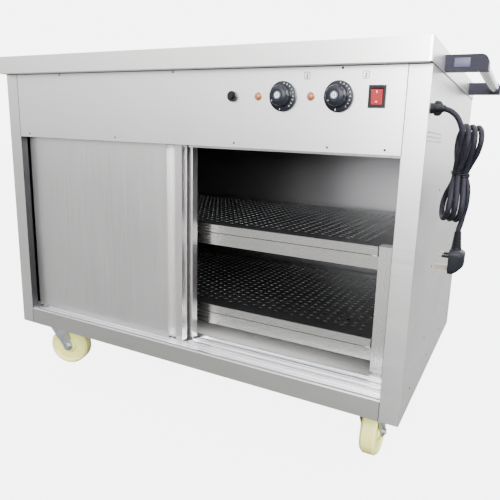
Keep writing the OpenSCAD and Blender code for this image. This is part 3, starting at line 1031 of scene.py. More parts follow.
def keep(piece: Piece, body: str) -> Piece:
    """Makes a piece ride on a body and reports it.

    Args:
        piece: the piece.
        body: the body that it rides on.

    Returns:
        The same piece.
    """
    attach(piece, body)
    log.info("%s rides on %s", piece.name, body)
    return piece


# Repeats made by geometry nodes


@dataclass(frozen=True)
class NodeGroup:
    """A geometry node tree under construction, with named inputs for its sizes."""

    name: str
    inputs: Sequence[tuple[str, str, Any]]

    def start(self) -> tuple[Tree, Node]:
        """Makes the tree with its inputs and returns it with its input node.

        Returns:
            The tree and its input node.
        """
        tree = bpy.data.node_groups.new(self.name, "GeometryNodeTree")
        tree.interface.new_socket(name="Geometry", in_out="INPUT", socket_type="NodeSocketGeometry")
        for label, kind, value in self.inputs:
            socket = tree.interface.new_socket(name=label, in_out="INPUT", socket_type=kind)
            if value is not None:
                socket.default_value = value
        tree.interface.new_socket(
            name="Geometry", in_out="OUTPUT", socket_type="NodeSocketGeometry"
        )
        return tree, add_node(tree, "NodeGroupInput")

    @staticmethod
    def end(tree: Tree, shape: Socket, finish: Socket) -> None:
        """Ends the tree in real geometry with its material.

        Args:
            tree: the node tree.
            shape: the socket that gives the shape.
            finish: the socket that gives the material.
        """
        real = add_node(tree, "GeometryNodeRealizeInstances", links={0: shape})
        dressed = add_node(
            tree, "GeometryNodeSetMaterial", links={"Geometry": real.outputs[0], "Material": finish}
        )
        add_node(tree, "NodeGroupOutput", links={0: dressed.outputs[0]})

    @staticmethod
    def run(
        piece: Piece, tree: Tree, values: Mapping[str, Any]
    ) -> Piece:
        """Runs the tree on a piece and leaves a plain mesh.

        Args:
            piece: the object that the tree works on.
            tree: the geometry node tree.
            values: a value for each named input.

        Returns:
            The plain mesh piece, with the same name.
        """
        modifier = piece.modifiers.new("repeat", "NODES")
        modifier.node_group = tree
        by_name = {s.name: s.identifier for s in tree.interface.items_tree if s.in_out == "INPUT"}
        for label, value in values.items():
            modifier[by_name[label]] = value
        return plain_mesh(piece)


def points_object(name: str, points: Iterable[Sequence[float]]) -> Piece:
    """An object that is only a set of points.

    Args:
        name: the object's name.
        points: the points.

    Returns:
        The object.
    """
    data = bpy.data.meshes.new(name)
    data.from_pydata([tuple(p) for p in points], [], [])
    return new_object(name, data)


# Each head's turned forms: the number of sides, then the profile at unit radius and height.
HEAD_FORMS: dict[Head, tuple[tuple[int, Profile], ...]] = {
    Head.RIVET: (
        (
            16,
            (
                (0, -0.1), (1, -0.1), (1, 0.12), (0.9, 0.5),
                (0.62, 0.85), (0.3, 0.98), (0.27, 0.6), (0, 0.6),
            ),
        ),
    ),
    Head.PAN: (
        (
            20,
            (
                (0, -0.1), (1, -0.1), (1, 0.35), (0.93, 0.72),
                (0.75, 0.95), (0.5, 1), (0.46, 0.55), (0, 0.5),
            ),
        ),
    ),
    Head.HEX: (
        (24, ((0, -0.1), (1.35, -0.1), (1.35, 0.12), (1.3, 0.16), (0.98, 0.17))),
        (6, ((0, 0.1), (1, 0.1), (1, 0.92), (0.9, 1), (0, 1))),
    ),
}


@dataclass
class Fasteners:
    """Rows of rivets, screws or bolts: one head set on every point, turned to face outwards."""

    head: Head = Head.RIVET
    radius: float = 2.6 * MM
    height: float = 1.1 * MM
    finish: Finish = BRIGHT_ZINC

    def head_shape(self) -> Piece:
        """One head of unit radius and unit height, standing on its own XY plane.

        Returns:
            The head, in the scene.
        """
        shape = bmesh.new()
        for sides, profile in HEAD_FORMS[self.head]:
            add_turned(shape, profile, Matrix.Identity(4), sides, unit=1.0)
        return mesh_piece("one_head", shape, self.finish)

    def tree(self) -> Tree:
        """The tree that sets one head on each point.

        Returns:
            The tree.
        """
        group = NodeGroup(
            "set_heads",
            [
                ("Head", "NodeSocketObject", None),
                ("Radius", "NodeSocketFloat", 0.003),
                ("Height", "NodeSocketFloat", 0.001),
                ("Turn", "NodeSocketRotation", None),
                ("Material", "NodeSocketMaterial", None),
            ],
        )
        tree, given = group.start()
        size = add_node(
            tree,
            "ShaderNodeCombineXYZ",
            links={
                0: given.outputs["Radius"],
                1: given.outputs["Radius"],
                2: given.outputs["Height"],
            },
        )
        head = add_node(tree, "GeometryNodeObjectInfo", links={"Object": given.outputs["Head"]})
        heads = add_node(
            tree,
            "GeometryNodeInstanceOnPoints",
            links={
                "Points": given.outputs["Geometry"],
                "Instance": head.outputs["Geometry"],
                "Rotation": given.outputs["Turn"],
                "Scale": size.outputs[0],
            },
        )
        group.end(tree, heads.outputs[0], given.outputs["Material"])
        return tree

    def place(
        self, name: str, points: Sequence[Sequence[float]], outward: Vector, body: str, slot: str
    ) -> Piece:
        """Sets a head on every point.

        Args:
            name: the piece's name.
            points: where the heads sit on the surface.
            outward: the surface's outward direction.
            body: the body that the heads ride on.
            slot: the name of a material slot; not used.

        Returns:
            The finished piece.
        """
        head = self.head_shape()
        turn = Vector((0, 0, 1)).rotation_difference(outward).to_euler()
        piece = NodeGroup.run(
            points_object(name, points),
            self.tree(),
            {
                "Head": head,
                "Radius": self.radius,
                "Height": self.height,
                "Turn": turn,
                "Material": self.finish.material(),
            },
        )
        bpy.data.objects.remove(head, do_unlink=True)
        return keep(piece, body)


@dataclass
class DialMarks:
    """Printed marks round a dial: short bars on an arc, each turned to point at the middle."""

    count: int
    first_deg: float
    bar: tuple[float, float, float]
    step_deg: float = 16.0
    radius: float = 22.2 * MM

    def tree(self) -> Tree:
        """The tree that sets a bar at each step of the arc, facing local Z.

        Returns:
            The tree.
        """
        group = NodeGroup(
            "dial_marks",
            [
                ("Count", "NodeSocketInt", 11),
                ("First", "NodeSocketFloat", 0.0),
                ("Step", "NodeSocketFloat", 0.4),
                ("Radius", "NodeSocketFloat", 0.02),
                ("Bar", "NodeSocketVector", None),
                ("Material", "NodeSocketMaterial", None),
            ],
        )
        tree, given = group.start()
        number = add_node(tree, "GeometryNodeInputIndex")
        angle = add_node(
            tree,
            "ShaderNodeMath",
            {"operation": "MULTIPLY_ADD"},
            {0: number.outputs[0], 1: given.outputs["Step"], 2: given.outputs["First"]},
        )
        along = add_node(tree, "ShaderNodeMath", {"operation": "COSINE"}, {0: angle.outputs[0]})
        up = add_node(tree, "ShaderNodeMath", {"operation": "SINE"}, {0: angle.outputs[0]})
        aim = add_node(tree, "ShaderNodeCombineXYZ", links={0: along.outputs[0], 1: up.outputs[0]})
        spot = add_node(
            tree,
            "ShaderNodeVectorMath",
            {"operation": "SCALE"},
            {0: aim.outputs[0], "Scale": given.outputs["Radius"]},
        )
        marks = add_node(tree, "GeometryNodeMeshLine", links={"Count": given.outputs["Count"]})
        spread = add_node(
            tree,
            "GeometryNodeSetPosition",
            links={"Geometry": marks.outputs[0], "Position": spot.outputs[0]},
        )
        bar = add_node(tree, "GeometryNodeMeshCube", links={"Size": given.outputs["Bar"]})
        turn = add_node(tree, "ShaderNodeCombineXYZ", links={2: angle.outputs[0]})
        bars = add_node(
            tree,
            "GeometryNodeInstanceOnPoints",
            links={
                "Points": spread.outputs[0],
                "Instance": bar.outputs[0],
                "Rotation": turn.outputs[0],
            },
        )
        group.end(tree, bars.outputs[0], given.outputs["Material"])
        return tree

    def place(self, name: str, at: Matrix, finish: Finish, body: str, slot: str) -> Piece:
        """Prints the marks on a dial whose middle and facing the matrix gives.

        Args:
            name: the piece's name.
            at: the dial's middle and facing.
            finish: what it is made of.
            body: the body that it rides on.
            slot: its material slot; not used.

        Returns:
            The finished piece.
        """
        piece = NodeGroup.run(
            points_object(name, [(0, 0, 0)]),
            self.tree(),
            {
                "Count": self.count,
                "First": math.radians(self.first_deg),
                "Step": math.radians(self.step_deg),
                "Radius": self.radius,
                "Bar": self.bar,
                "Material": finish.material(),
            },
        )
        piece.data.transform(at)
        return keep(piece, body)


@dataclass
class PerforatedSheet:
    """A punched sheet: staggered round holes through an outline, with a plain margin."""

    pitch: tuple[float, float] = (20 * MM, 20 * MM)
    hole_r: float = 5.2 * MM
    margin: float = 22 * MM
    thickness: float = 1.2 * MM

    def tree(self) -> Tree:
        """The tree that punches an outline curve and gives the sheet its thickness.

        Returns:
            The tree.
        """
        group = NodeGroup(
            "punch_sheet",
            [
                ("Columns", "NodeSocketInt", 40),
                ("Rows", "NodeSocketInt", 20),
                ("Pitch X", "NodeSocketFloat", 0.02),
                ("Pitch Y", "NodeSocketFloat", 0.02),
                ("Hole Radius", "NodeSocketFloat", 0.005),
                ("Middle", "NodeSocketVector", None),
                ("Thickness", "NodeSocketFloat", 0.0012),
                ("Material", "NodeSocketMaterial", None),
            ],
        )
        tree, given = group.start()
        number = add_node(tree, "GeometryNodeInputIndex").outputs[0]
        columns, rows = given.outputs["Columns"], given.outputs["Rows"]

        def maths(operation: str, *terms: Socket | float) -> Socket:
            """One sum of the grid's numbering, on sockets and plain numbers.

            Args:
                operation: the sum's name.
                terms: what it works on.

            Returns:
                The sum's socket.
            """
            links = {k: term for k, term in enumerate(terms) if isinstance(term, Socket)}
            values = {k: term for k, term in enumerate(terms) if not isinstance(term, Socket)}
            settings = {"operation": operation, **values}
            return add_node(tree, "ShaderNodeMath", settings, links).outputs[0]

        column = maths("FLOORED_MODULO", number, columns)
        row = maths("FLOOR", maths("DIVIDE", number, columns))
        stagger = maths("MULTIPLY_ADD", maths("FLOORED_MODULO", column, 2.0), 0.5, -0.25)
        spans = []
        for place, count in ((column, columns), (maths("ADD", row, stagger), rows)):
            spans.append(maths("ADD", place, maths("MULTIPLY_ADD", count, -0.5, 0.5)))
        x = maths("MULTIPLY", spans[0], given.outputs["Pitch X"])
        y = maths("MULTIPLY", spans[1], given.outputs["Pitch Y"])
        spot = add_node(tree, "ShaderNodeCombineXYZ", links={0: x, 1: y})
        there = add_node(
            tree,
            "ShaderNodeVectorMath",
            {"operation": "ADD"},
            {0: spot.outputs[0], 1: given.outputs["Middle"]},
        )
        total = maths("MULTIPLY", columns, rows)
        marks = add_node(tree, "GeometryNodeMeshLine", links={"Count": total})
        spread = add_node(
            tree,
            "GeometryNodeSetPosition",
            links={"Geometry": marks.outputs[0], "Position": there.outputs[0]},
        )
        ring = add_node(
            tree,
            "GeometryNodeCurvePrimitiveCircle",
            {"Resolution": 12},
            {"Radius": given.outputs["Hole Radius"]},
        )
        rings = add_node(
            tree,
            "GeometryNodeInstanceOnPoints",
            links={"Points": spread.outputs[0], "Instance": ring.outputs[0]},
        )
        loops = add_node(tree, "GeometryNodeRealizeInstances", links={0: rings.outputs[0]})
        drawn = add_node(tree, "GeometryNodeJoinGeometry")
        tree.links.new(given.outputs["Geometry"], drawn.inputs[0])
        tree.links.new(loops.outputs[0], drawn.inputs[0])
        sheet = add_node(
            tree, "GeometryNodeFillCurve", {"mode": "TRIANGLES"}, {0: drawn.outputs[0]}
        )
        lift = add_node(tree, "ShaderNodeCombineXYZ", links={2: given.outputs["Thickness"]})
        raised = add_node(
            tree,
            "GeometryNodeExtrudeMesh",
            {"mode": "FACES", "Individual": False},
            {"Mesh": sheet.outputs[0], "Offset": lift.outputs[0]},
        )
        under = add_node(tree, "GeometryNodeFlipFaces", links={0: sheet.outputs[0]})
        both = add_node(tree, "GeometryNodeJoinGeometry")
        tree.links.new(raised.outputs[0], both.inputs[0])
        tree.links.new(under.outputs[0], both.inputs[0])
        merged = add_node(
            tree, "GeometryNodeMergeByDistance", {"Distance": 1e-6}, {"Geometry": both.outputs[0]}
        )
        group.end(tree, merged.outputs[0], given.outputs["Material"])
        return tree

    def place(self, name: str, outline: Profile, top: float, finish: Finish) -> Piece:
        """Punches a sheet with the given outline, whose upper face is at the height top.

        Args:
            name: the piece's name.
            outline: the sheet's outline.
            top: the height of its upper face.
            finish: what it is made of.

        Returns:
            The sheet, in the scene.
        """
        xs, ys = [p[0] for p in outline], [p[1] for p in outline]
        data = bpy.data.curves.new(name, "CURVE")
        data.dimensions = "3D"
        spline = data.splines.new("POLY")
        spline.points.add(len(outline) - 1)
        for mark, (x, y) in zip(spline.points, outline):
            mark.co = (x, y, 0.0, 1.0)
        spline.use_cyclic_u = True
        inner = sorted(xs)[len(xs) // 4], sorted(xs)[-1 - len(xs) // 4]
        across = inner[1] - inner[0] - 2 * self.margin
        deep = max(ys) - min(ys) - 2 * self.margin
        piece = NodeGroup.run(
            new_object(name, data),
            self.tree(),
            {
                "Columns": int(across / self.pitch[0]),
                "Rows": int(deep / self.pitch[1]) - 1,
                "Pitch X": self.pitch[0],
                "Pitch Y": self.pitch[1],
                "Hole Radius": self.hole_r,
                "Middle": ((inner[0] + inner[1]) / 2, (max(ys) + min(ys)) / 2, 0.0),
                "Thickness": self.thickness,
                "Material": finish.material(),
            },
        )
        piece.data.transform(Matrix.Translation((0, 0, top - self.thickness)))
        return piece


# The object's parts


@dataclass(frozen=True)
class Studio:
    """The camera, the pale floor, the white surroundings and the soft lights."""

    eye: tuple[float, float, float] = (0.610868, -1.083584, 0.615840)
    azimuth_deg: float = 25.2275
    elevation_deg: float = 11.6235
    roll_deg: float = 2.4877
    lens_mm: float = 34.754
    shift: tuple[float, float] = (-0.0808, -0.0188)
    sky: float = 6.5
    backdrop: float = 8.0
    soft_boxes: tuple[tuple[str, Spot, Spot, tuple[float, float], float], ...] = (
        ("softbox_front_right", (2.6, -2.0, 1.9), (0.2, 0.0, 0.6), (1.8, 1.8), 235),
        ("softbox_front", (0.9, -3.0, 1.3), (0.2, 0.0, 0.6), (2.0, 1.2), 125),
        ("softbox_top", (0.2, 0.3, 3.0), (0.0, 0.0, 0.7), (2.2, 2.2), 70),
    )

    def camera(self) -> Piece:
        """Sets the camera up at eye level with the control panel, a little to the right of it.

        Returns:
            The camera.
        """
        degrees = (self.azimuth_deg, self.elevation_deg, self.roll_deg)
        az, el, roll = (math.radians(angle) for angle in degrees)
        ahead = Vector((-math.sin(az) * math.cos(el), math.cos(az) * math.cos(el), -math.sin(el)))
        right = Vector((math.cos(az), math.sin(az), 0))
        up = right.cross(ahead)
        x = math.cos(roll) * right + math.sin(roll) * up
        y = -math.sin(roll) * right + math.cos(roll) * up
        data = bpy.data.cameras.new("studio_camera")
        data.lens, data.sensor_width = self.lens_mm, 36.0
        data.shift_x, data.shift_y = self.shift
        data.clip_start, data.clip_end = 0.05, 60.0
        camera = new_object("studio_camera", data)
        turn = Matrix((x, y, -ahead)).transposed().to_4x4()
        camera.matrix_world = Matrix.Translation(self.eye) @ turn
        bpy.context.scene.camera = camera
        return camera

    def floor(self) -> Piece:
        """Lays the seamless pale floor.

        Returns:
            The floor.
        """
        shape = bmesh.new()
        bmesh.ops.create_grid(shape, x_segments=4, y_segments=4, size=14.0)
        paint = StudioFloor("Painted studio floor", "#444444", roughness=0.8)
        floor = mesh_piece("studio_floor", shape, paint)
        return floor

    def light(
        self, name: str, at: Spot, aim: Spot, size: tuple[float, float], power: float
    ) -> None:
        """Hangs one soft box that points from one place to another.

        Args:
            name: the light's name.
            at: where it hangs.
            aim: the place that it faces.
            size: its width and height.
            power: its power in watts.
        """
        data = bpy.data.lights.new(name, "AREA")
        data.shape, data.size, data.size_y = "RECTANGLE", size[0], size[1]
        data.energy = power
        way = Vector(aim) - Vector(at)
        turn = way.to_track_quat("-Z", "Y").to_matrix().to_4x4()
        new_object(name, data).matrix_world = Matrix.Translation(at) @ turn

    def world(self) -> None:
        """Surrounds the scene with soft white that fades towards the horizon and the left."""
        world = bpy.data.worlds.new("studio_world")
        world.use_nodes = True
        tree = world.node_tree
        tree.nodes.clear()
        place = add_node(tree, "ShaderNodeTexCoord")
        split = add_node(tree, "ShaderNodeSeparateXYZ", links={0: place.outputs["Generated"]})
        rise = add_node(
            tree,
            "ShaderNodeMapRange",
            {"From Min": -0.05, "From Max": 0.4, "To Min": 0.24},
            {"Value": split.outputs[2]},
        )
        side = add_node(
            tree,
            "ShaderNodeMapRange",
            {"From Min": -0.85, "From Max": 0.0, "To Min": 0.4},
            {"Value": split.outputs[0]},
        )
        shade = add_node(
            tree,
            "ShaderNodeMath",
            {"operation": "MULTIPLY"},
            {0: rise.outputs[0], 1: side.outputs[0]},
        )
        grey = add_node(
            tree,
            "ShaderNodeCombineXYZ",
            links={0: shade.outputs[0], 1: shade.outputs[0], 2: shade.outputs[0]},
        )
        glow = add_node(
            tree, "ShaderNodeBackground", {"Strength": self.sky}, {"Color": grey.outputs[0]}
        )
        backdrop = add_node(tree, "ShaderNodeBackground", {"Strength": self.backdrop})
        path = add_node(tree, "ShaderNodeLightPath")
        seen = add_node(
            tree,
            "ShaderNodeMixShader",
            links={0: path.outputs["Is Camera Ray"], 1: glow.outputs[0], 2: backdrop.outputs[0]},
        )
        add_node(tree, "ShaderNodeOutputWorld", links={0: seen.outputs[0]})
        bpy.context.scene.world = world

    def build(self) -> None:
        """Sets the whole studio up."""
        self.camera()
        self.floor()
        self.world()
        for name, at, aim, size, power in self.soft_boxes:
            self.light(name, at, aim, size, power)
        log.info("studio is ready")


@dataclass(frozen=True)
class Dressing:
    """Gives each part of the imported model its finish, by the start of the part's name."""

    rules: tuple[tuple[str, Finish], ...] = (
        ("worktop", STEEL_PALE),
        ("top_ribs", STEEL_LINING_SHADED),
        # The sides and the back take darker inside colours, painted as the shade inside the
        # cupboard.
        (
            "side_panel_left",
            BrushedStainless(
                "Stainless 304 left side, dull inside", "#E2E1DF", shade="#D8D7D5", inside=(1, 0, 0)
            ),
        ),
        (
            "side_panel_right",
            BrushedStainless(
                "Stainless 304 right side, dull inside",
                "#E0DFDE",
                shade="#D7D6D5",
                inside=(-1, 0, 0),
                inside_painted_shade="#606062",
            ),
        ),
        (
            "back_panel",
            BrushedStainless(
                "Stainless 304 back, heat dulled inside",
                "#D6D5D3",
                shade="#C2C1BF",
                inside=(0, -1, 0),
                inside_painted_shade="#A4A4A6",
            ),
        ),
        ("base_pan", BrushedStainless("Stainless 304 base pan", "#C9C8C6", shade="#B4B3B1")),
        (
            "cabinet_floor",
            BrushedStainless(
                "Stainless 304 floor, bright",
                "#D8D7D5",
                shade="#C4C3C1",
                metallic=0.55,
                roughness=0.36,
            ),
        ),
        ("cabinet_roof", STEEL_LINING_SHADED),
        (
            "front_fascia",
            BrushedStainless(
                "Stainless 304 fascia, level brushed", "#EAE9EA", shade="#E0DFE0", line_mm=1.8
            ),
        ),
        ("bottom_rail", STEEL_RAIL),
        ("track", ALUMINIUM),
        ("rack_legs", STEEL_LEG),
        ("rail_", STEEL_RACK),
        ("shelf", STEEL_SHELF_SHADED),
        ("heater", ELEMENT),
        ("thermostat", BRIGHT_ZINC),
        ("lamp", AMBER),
        ("reset", ABS_BLACK),
        ("switch_bezel", ABS_BLACK),
        ("switch_rocker", RED),
        ("terminal", IVORY),
        ("knob", PHENOLIC),
        ("cable_gland", NYLON_BLACK),
        ("cord", CORD_RUBBER),
        ("plug_body", PLUG_PVC),
        ("plug_pins", BRASS),
        ("handle_bracket", HANDLE_NYLON),
        ("handle_tube", STEEL_TUBE),
        ("door_front_liner", STEEL_LINER_SHADED),
        ("door_rear_liner", STEEL_LINER_SHADED),
        ("door", STEEL_DOOR),
        ("castor_plate", ZINC),
        ("castor_fork", ZINC),
    )

    def wheel(self, name: str) -> Finish:
        """A wheel's finish, with its scuffed tread centred on its own axle.

        Args:
            name: the wheel's part name.

        Returns:
            The finish.
        """
        return CastNylon(
            f"Cast nylon of {name}",
            "#B4B468",
            roughness=0.42,
            texture_mm=1.4,
            swing=0.03,
            hub=tuple(middle(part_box(name))),
        )

    def build(self, nodes: Mapping[str, Piece]) -> None:
        """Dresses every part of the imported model.

        Args:
            nodes: the parts' objects by name.
        """
        for name, part in nodes.items():
            if name.startswith("castor_wheel"):
                finish = self.wheel(name)
            else:
                finish = next(f for start, f in self.rules if name.startswith(start))
            part.data.materials.clear()
            part.data.materials.append(finish.material())
            log.info("%s is finished in %s", name, finish.name)


@dataclass
class MainsCord:
    """The rubber mains cord: out of its gland, wound in a tied hank, and down into its plug."""

    diameter: float = 0.009
    gland: Vector = field(default_factory=lambda: Vector((0.487, -0.266, 0.677)))
    hank: Vector = field(default_factory=lambda: Vector((0.517, -0.238, 0.575)))
    relief_top: Vector = field(default_factory=lambda: Vector((0.524, -0.240, 0.480)))
    plug_face: Vector = field(default_factory=lambda: Vector((0.515, -0.240, 0.428)))
    turns: int = 3
    # The hank's own sizes, in millimetres: its folds' radius, how far its strands stand apart at
    # the waist and in the lobes, how far the pinch reaches, its half height and its layers.
    fold: float = 27.0
    waist: float = 8.0
    pinch_reach: float = 30.0
    spread: float = 10.2
    half_height: float = 76.5
    layer: float = 9.1

    def axes(self) -> tuple[Vector, Vector, Vector]:
        """The hank's width, layer and height directions.

        Returns:
            Three directions of unit length.
        """
        lean, turn = math.radians(6), math.radians(-69)
        tilt = Matrix.Rotation(lean, 3, "Y") @ Matrix.Rotation(turn, 3, "Z")
        return tilt @ Vector((1, 0, 0)), tilt @ Vector((0, 1, 0)), tilt @ Vector((0, 0, 1))

    def in_hank(self, across: float, layer: float, up: float) -> Vector:
        """A point of the hank from its own millimetres."""
        wide, deep, high = self.axes()
        return self.hank + (wide * across + deep * layer + high * up) * MM

    def loop(self, turn: float) -> Vector:
        """A point of the hank's pinched loop, counted from the middle of its top fold.

        Args:
            turn: the number of turns.

        Returns:
            The point.
        """
        quarter = int(turn * 4) % 4
        straight = self.half_height - self.fold
        arc = math.pi / 2 * self.fold
        part = turn * 4 % 1
        run = (part if quarter % 2 == 0 else 1 - part) * (arc + straight)
        if run < arc:
            across = self.fold * math.sin(run / self.fold)
            up = straight + self.fold * math.cos(run / self.fold)
        else:
            across, up = self.fold, straight - (run - arc)
        side = 1 if quarter < 2 else -1
        end = 1 if quarter in (0, 3) else -1
        pinch = math.exp(-((up / self.pinch_reach) ** 2))
        waist_across, waist_layer = self.waist_slot(int(turn * 2))
        across = side * across * (1 - pinch) + waist_across * pinch
        layer = self.spread * (turn - 0.25 - self.turns / 2) * (1 - pinch) + waist_layer * pinch
        return self.in_hank(across, layer, end * up)

    def waist_slot(self, number: int) -> tuple[float, float]:
        """A pass's place in the waist, where seven passes lie as a close-packed two, three and two.

        Args:
            number: the pass, counted from the lead.

        Returns:
            Its place across the hank and along its layers, in millimetres.
        """
        half = self.turns
        if number % half == 0:
            return 0.0, self.layer * (number / half - 1)
        side = 1 if number % 2 == 0 else -1
        return side * self.waist, math.copysign(self.layer / 2, number - half)

    def route(self) -> list[Vector]:
        """The points that the cord passes through, from the gland to the plug.

        Returns:
            The points in order.
        """
        # Millimetres from the gland's mouth: out, a little back, and down in one easy bend.
        lead = [(-8, 0, 0), (0, 0, -1), (10, 0, -5), (19, 1, -13), (25, 2, -24), (29, 4, -38)]
        lead += [(28, 8, -54), (24.5, 13, -76)]
        points = [self.gland + Vector(p) * MM for p in lead]
        steps = 20 * self.turns
        points += [self.loop(0.25 + self.turns * k / steps) for k in range(steps + 1)]
        points += [self.in_hank(*p) for p in ((8, 14.5, -20), (10, 17.5, -45), (7, 17.5, -66))]
        into_relief = ((2.4, 1.2, 12), (0.6, 0.3, 5), (0, 0, 0))
        points += [self.relief_top + Vector(p) * MM for p in into_relief]
        return points

    def cord(self, pieces: Sequence[Any]) -> Piece:
        """Lays the cord and logs its length.

        Args:
            pieces: what is on the cord, such as the plug; not used.

        Returns:
            The cord's curve.
        """
        line = smooth_route(self.route(), 3.5 * MM)
        cord = curve_piece("mains_cord", line, self.diameter / 2, CORD_RUBBER)
        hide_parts("cord_lead", "cord_hank", "cord_tail")
        keep(cord, "cabinet")
        log.info("the cord is %.3f m long", length_of(line))
        return cord

    def tie(self) -> Piece:
        """The black wire tie that is wrapped twice round the hank's waist and twisted in front.

        Returns:
            The tie.
        """
        points = []
        wraps, steps, across, deep = 2, 40, 13.9, 14.9
        for k in range(steps + 1):
            angle = 2 * math.pi * wraps * k / steps
            height = -3 + 6 * k / steps
            points.append(self.in_hank(across * math.cos(angle), deep * math.sin(angle), height))
        points += [self.in_hank(*p) for p in ((16.5, -3, 6), (19, -5, 8), (21, -6, 11))]
        wire = curve_piece("cord_tie", smooth_route(points, 2 * MM), 1.1 * MM, NYLON_BLACK)
        return keep(plain_mesh(wire), "cabinet")

    def plug(self) -> Piece:
        """The moulded plug: a rounded wedge with a ribbed, tapering strain relief.

        Returns:
            The plug.
        """
        place = Matrix.Translation(self.plug_face)
        shape = bmesh.new()
        rows = []
        # Each section's distance from the pins' face, its width, and how far its ends draw in.
        stations = (
            (0.0, 45.0, 0.5), (0.7, 47.4, 0.0), (6.5, 47.4, 0.0), (9.0, 46.0, 0.7),
            (13.5, 42.4, 3.2), (17.5, 38.0, 6.6), (20.8, 33.4, 10.0), (22.8, 29.0, 12.6),
            (23.7, 24.0, 14.6),
        )
        for x, wide, cut in stations:
            high, low = 22 - cut * 0.3, -20 + cut
            inset = 1.6 if x == 0.0 else 0.0
            outline = rounded(wide - inset, high - low - inset, 9.0, 6)
            mid = (high + low) / 2
            spots = (place @ (Vector((x, y, z + mid)) * MM) for y, z in outline)
            rows.append([shape.verts.new(spot) for spot in spots])
        bridge(shape, rows)
        shape.faces.new(rows[0])
        shape.faces.new(rows[-1])
        relief = [(0.0, 12.0), (8.8, 12.0), (8.6, 22.0)]
        for k in range(8):
            z = 23.0 + 3.5 * k
            r = 8.4 - 0.32 * k
            relief += [(r, z), (r, z + 1.9), (r - 1.3, z + 2.3), (r - 1.3, z + 3.2)]
        relief += [(5.6, 51.4), (4.7, 51.9), (0.0, 51.9)]
        at_relief = place @ Matrix.Translation(Vector((9, 0, 0)) * MM)
        add_turned(shape, relief, at_relief, 32)
        plug = mesh_piece("plug_moulding", shape, PLUG_PVC, 32.0)
        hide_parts("plug_body")
        return keep(plug, "cabinet")

    def pin_sleeves(self) -> Piece:
        """The insulating sleeves on the two flat pins' inner halves.

        Returns:
            The sleeves.
        """
        place = Matrix.Translation(self.plug_face)
        shape = bmesh.new()
        for side in (-1, 1):
            low = Vector((-11.5, side * 11.1 - 3.35, 6.85)) * MM
            high = Vector((0.3, side * 11.1 + 3.35, 11.15)) * MM
            add_box(shape, low, high)
        soften(shape, 0.3 * MM)
        bmesh.ops.transform(shape, matrix=place, verts=shape.verts)
        return keep(mesh_piece("plug_pin_sleeves", shape, PLUG_PVC), "cabinet")

    @staticmethod
    def lobed(angle: float, number: int) -> float:
        """The factor on the nut's radius that presses its four lobes in, short of its neck."""
        on_nut = 0 < number < 7
        return 1.0 - (0.3 * (0.5 - 0.5 * math.cos(4 * angle)) ** 2 if on_nut else 0.0)

    def gland_nut(self) -> Piece:
        """The gland: a round base against the panel and a domed, lobed nut on the cord.

        Returns:
            The gland.
        """
        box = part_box("cable_gland")
        centre = middle(box)
        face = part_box("side_panel_right")[1][0]
        sideways = Matrix.Rotation(math.radians(90), 4, "Y")
        place = Matrix.Translation((face, centre.y, centre.z)) @ sideways
        shape = bmesh.new()
        base = [(0.0, -0.4), (8.0, -0.4), (8.4, 0.0), (8.4, 5.0), (8.0, 5.4), (0.0, 5.4)]
        add_turned(shape, base, place, 32)
        dome = [
            (0.0, 5.0), (10.6, 5.0), (11.4, 5.8), (11.8, 7.0), (11.8, 11.5), (11.0, 14.2),
            (8.6, 16.4), (6.4, 17.4), (5.7, 18.4), (5.3, 21.9), (4.7, 22.0), (4.5, 19.0),
            (0.0, 19.0),
        ]
        add_turned(shape, dome, place, 60, self.lobed)
        inside = [
            (0.0, -13.0), (8.6, -13.0), (8.6, -5.0), (11.8, -5.0),
            (11.8, -1.4), (8.6, -1.4), (8.6, 0.5), (0.0, 0.5),
        ]
        add_turned(shape, inside, place, 24)
        gland = mesh_piece("gland_nut", shape, NYLON_BLACK, 30.0)
        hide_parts("cable_gland")
        return keep(gland, "cabinet")

    def build(self, nodes: Mapping[str, Piece]) -> None:
        """Makes the cord and everything on it.

        Args:
            nodes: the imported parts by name.
        """
        pieces = [self.plug(), self.pin_sleeves(), self.tie(), nodes["plug_pins"]]
        self.gland_nut()
        self.cord(pieces)


